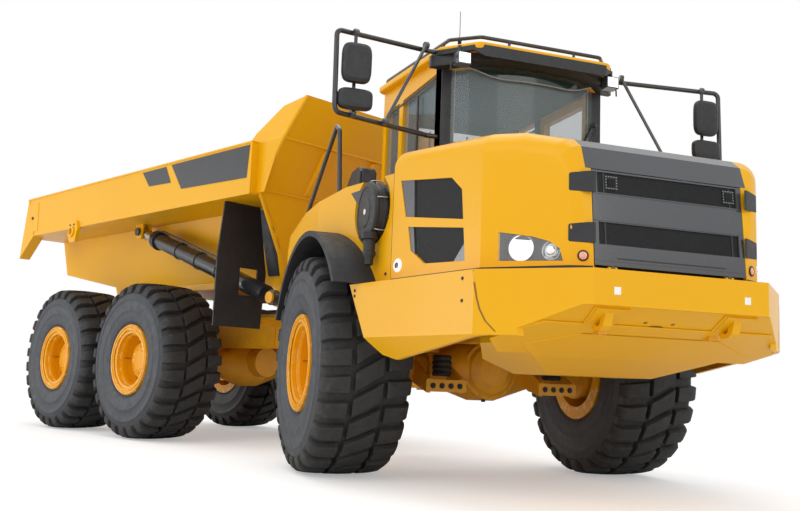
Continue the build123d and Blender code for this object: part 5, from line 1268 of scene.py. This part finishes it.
HOIST_FOOT = Vector((-2.38, 1.25, 1.583))
HOIST_EYE = Vector((-5.15, 1.25, 2.505))
HOIST_HEAD_CLEAR = 0.359
for name, side in SIDES.items():
    foot = Vector((HOIST_FOOT.x, side * HOIST_FOOT.y, HOIST_FOOT.z))
    run = Vector((HOIST_EYE.x, side * HOIST_EYE.y, HOIST_EYE.z)) - foot
    length = run.length
    ahead = run.normalized()
    over = Vector((0, side, 0)).cross(ahead).normalized()
    if over.z < 0:
        over = -over
    barrel = Form()
    for lift, radius, start, end in ((0.128, 0.015, 0.90, length - 0.42),
                                     (0.118, 0.011, 1.00, length - 0.52)):
        sideways = Vector((0, side * (0.02 if radius > 0.012 else -0.03), 0))
        barrel.tube([foot + ahead * start + over * 0.09 + sideways,
                     foot + ahead * (start + 0.06) + over * lift + sideways,
                     foot + ahead * (end - 0.06) + over * lift + sideways,
                     foot + ahead * end + over * 0.09 + sideways], radius, 10, 0.03)
    for along in (1.05, 1.5, 1.95):
        barrel.turned([(0.096, -0.02), (0.104, -0.018), (0.104, 0.018), (0.096, 0.02)],
                      foot + ahead * along, ahead, 32)
        barrel.bolts([foot + ahead * along + over * 0.104], over, 0.011)
    head = length - HOIST_HEAD_CLEAR
    for along, radius in ((head - 0.085, 0.120), (head - 0.040, 0.115), (head - 0.012, 0.113)):
        barrel.turned([(radius - 0.012, -0.014), (radius, -0.010), (radius, 0.010),
                       (radius - 0.012, 0.014)], foot + ahead * along, ahead, 40)
    spots = circle(10, 0.082, lambda a, b: (
        foot + ahead * head + over * a + ahead.cross(over) * b))
    barrel.bolts(spots, ahead, 0.010)
    barrel.done(f"hoist_pipes_{name}", HOIST_BLACK, f"hoist_barrel_{name}", LOAD_UNIT,
                "dark_grey_paint", bevel=0)

# Floor, light and camera

FLOOR_HALF = 60
FLOOR_GLOW = 0.34
floor = bpy.data.objects.new("floor", mesh_from(
    [(x, y, 0) for x, y in rect(-FLOOR_HALF, -FLOOR_HALF, FLOOR_HALF, FLOOR_HALF)],
    [(0, 1, 2, 3)]))
bpy.context.scene.collection.objects.link(floor)
floor_paint = bpy.data.materials.new("floor_paint")
floor_paint.use_nodes = True
tree = floor_paint.node_tree
paint = tree.nodes["Principled BSDF"]
paint.inputs["Base Color"].default_value = (0.86, 0.86, 0.86, 1)
paint.inputs["Roughness"].default_value = 0.9
paint.inputs["Specular IOR Level"].default_value = 0.0
glow = tree.nodes.new("ShaderNodeEmission")
glow.inputs["Color"].default_value = (1, 1, 1, 1)
ray = tree.nodes.new("ShaderNodeLightPath")
tree.links.new(math_node(tree, "MULTIPLY", ray.outputs["Is Camera Ray"], FLOOR_GLOW),
               glow.inputs["Strength"])
both = tree.nodes.new("ShaderNodeAddShader")
tree.links.new(paint.outputs[0], both.inputs[0])
tree.links.new(glow.outputs[0], both.inputs[1])
tree.links.new(both.outputs[0], tree.nodes["Material Output"].inputs["Surface"])
floor.data.materials.append(floor_paint)

world = bpy.data.worlds.new("studio")
bpy.context.scene.world = world
world.use_nodes = True
tree = world.node_tree
soft = tree.nodes["Background"]
soft.inputs["Color"].default_value = (1, 1, 1, 1)
soft.inputs["Strength"].default_value = 0.78
white = tree.nodes.new("ShaderNodeBackground")
white.inputs["Color"].default_value = (1, 1, 1, 1)
white.inputs["Strength"].default_value = 1.0
ray = tree.nodes.new("ShaderNodeLightPath")
seen = math_node(tree, "MAXIMUM", ray.outputs["Is Camera Ray"], ray.outputs["Is Glossy Ray"])
seen = math_node(tree, "MAXIMUM", seen, ray.outputs["Is Transmission Ray"])
choice = tree.nodes.new("ShaderNodeMixShader")
tree.links.new(seen, choice.inputs["Fac"])
tree.links.new(soft.outputs[0], choice.inputs[1])
tree.links.new(white.outputs[0], choice.inputs[2])
tree.links.new(choice.outputs[0], tree.nodes["World Output"].inputs["Surface"])

SOFTBOXES = [
    # name, place, point it faces, size, power
    ("key", (9.0, -9.0, 9.0), (0.5, 0.0, 1.5), 7.0, 230),
    ("top", (0.0, 0.0, 12.0), (0.0, 0.0, 0.0), 9.0, 420),
    ("nose", (13.0, 3.0, 5.0), (3.0, 1.0, 1.5), 5.0, 110),
    ("low", (12.0, -5.0, 1.6), (2.5, 0.0, 1.4), 4.0, 60),
    ("flank", (-4.0, -13.0, 1.6), (-2.5, -1.0, 2.0), 6.0, 420),
]
for name, spot, target, size, power in SOFTBOXES:
    lamp = bpy.data.lights.new(name, "AREA")
    lamp.size = size
    lamp.energy = power
    holder = bpy.data.objects.new(name, lamp)
    holder.location = spot
    holder.rotation_euler = (Vector(target) - Vector(spot)).to_track_quat("-Z", "Y").to_euler()
    bpy.context.scene.collection.objects.link(holder)

CAMERA_PLACE = FRONT_AXLE + Vector((7.4905, -3.4515, 0.7978))
CAMERA_YAW = 2.8019
CAMERA_PITCH = 0.1356
CAMERA_ROLL = 0.039
CAMERA_LENS = 40.87
ahead = Vector((
    math.cos(CAMERA_PITCH) * math.cos(CAMERA_YAW),
    math.cos(CAMERA_PITCH) * math.sin(CAMERA_YAW),
    math.sin(CAMERA_PITCH),
))
level_right = ahead.cross(Vector((0, 0, 1))).normalized()
level_up = level_right.cross(ahead)
right = math.cos(CAMERA_ROLL) * level_right + math.sin(CAMERA_ROLL) * level_up
up = -math.sin(CAMERA_ROLL) * level_right + math.cos(CAMERA_ROLL) * level_up
eye = bpy.data.cameras.new("camera")
eye.lens = CAMERA_LENS
eye.sensor_width = 36
eye.sensor_fit = "HORIZONTAL"
camera = bpy.data.objects.new("camera", eye)
camera.matrix_world = Matrix((
    (right.x, up.x, -ahead.x, CAMERA_PLACE.x),
    (right.y, up.y, -ahead.y, CAMERA_PLACE.y),
    (right.z, up.z, -ahead.z, CAMERA_PLACE.z),
    (0, 0, 0, 1),
))
bpy.context.scene.collection.objects.link(camera)
bpy.context.scene.camera = camera
bpy.context.scene.view_settings.view_transform = "Standard"
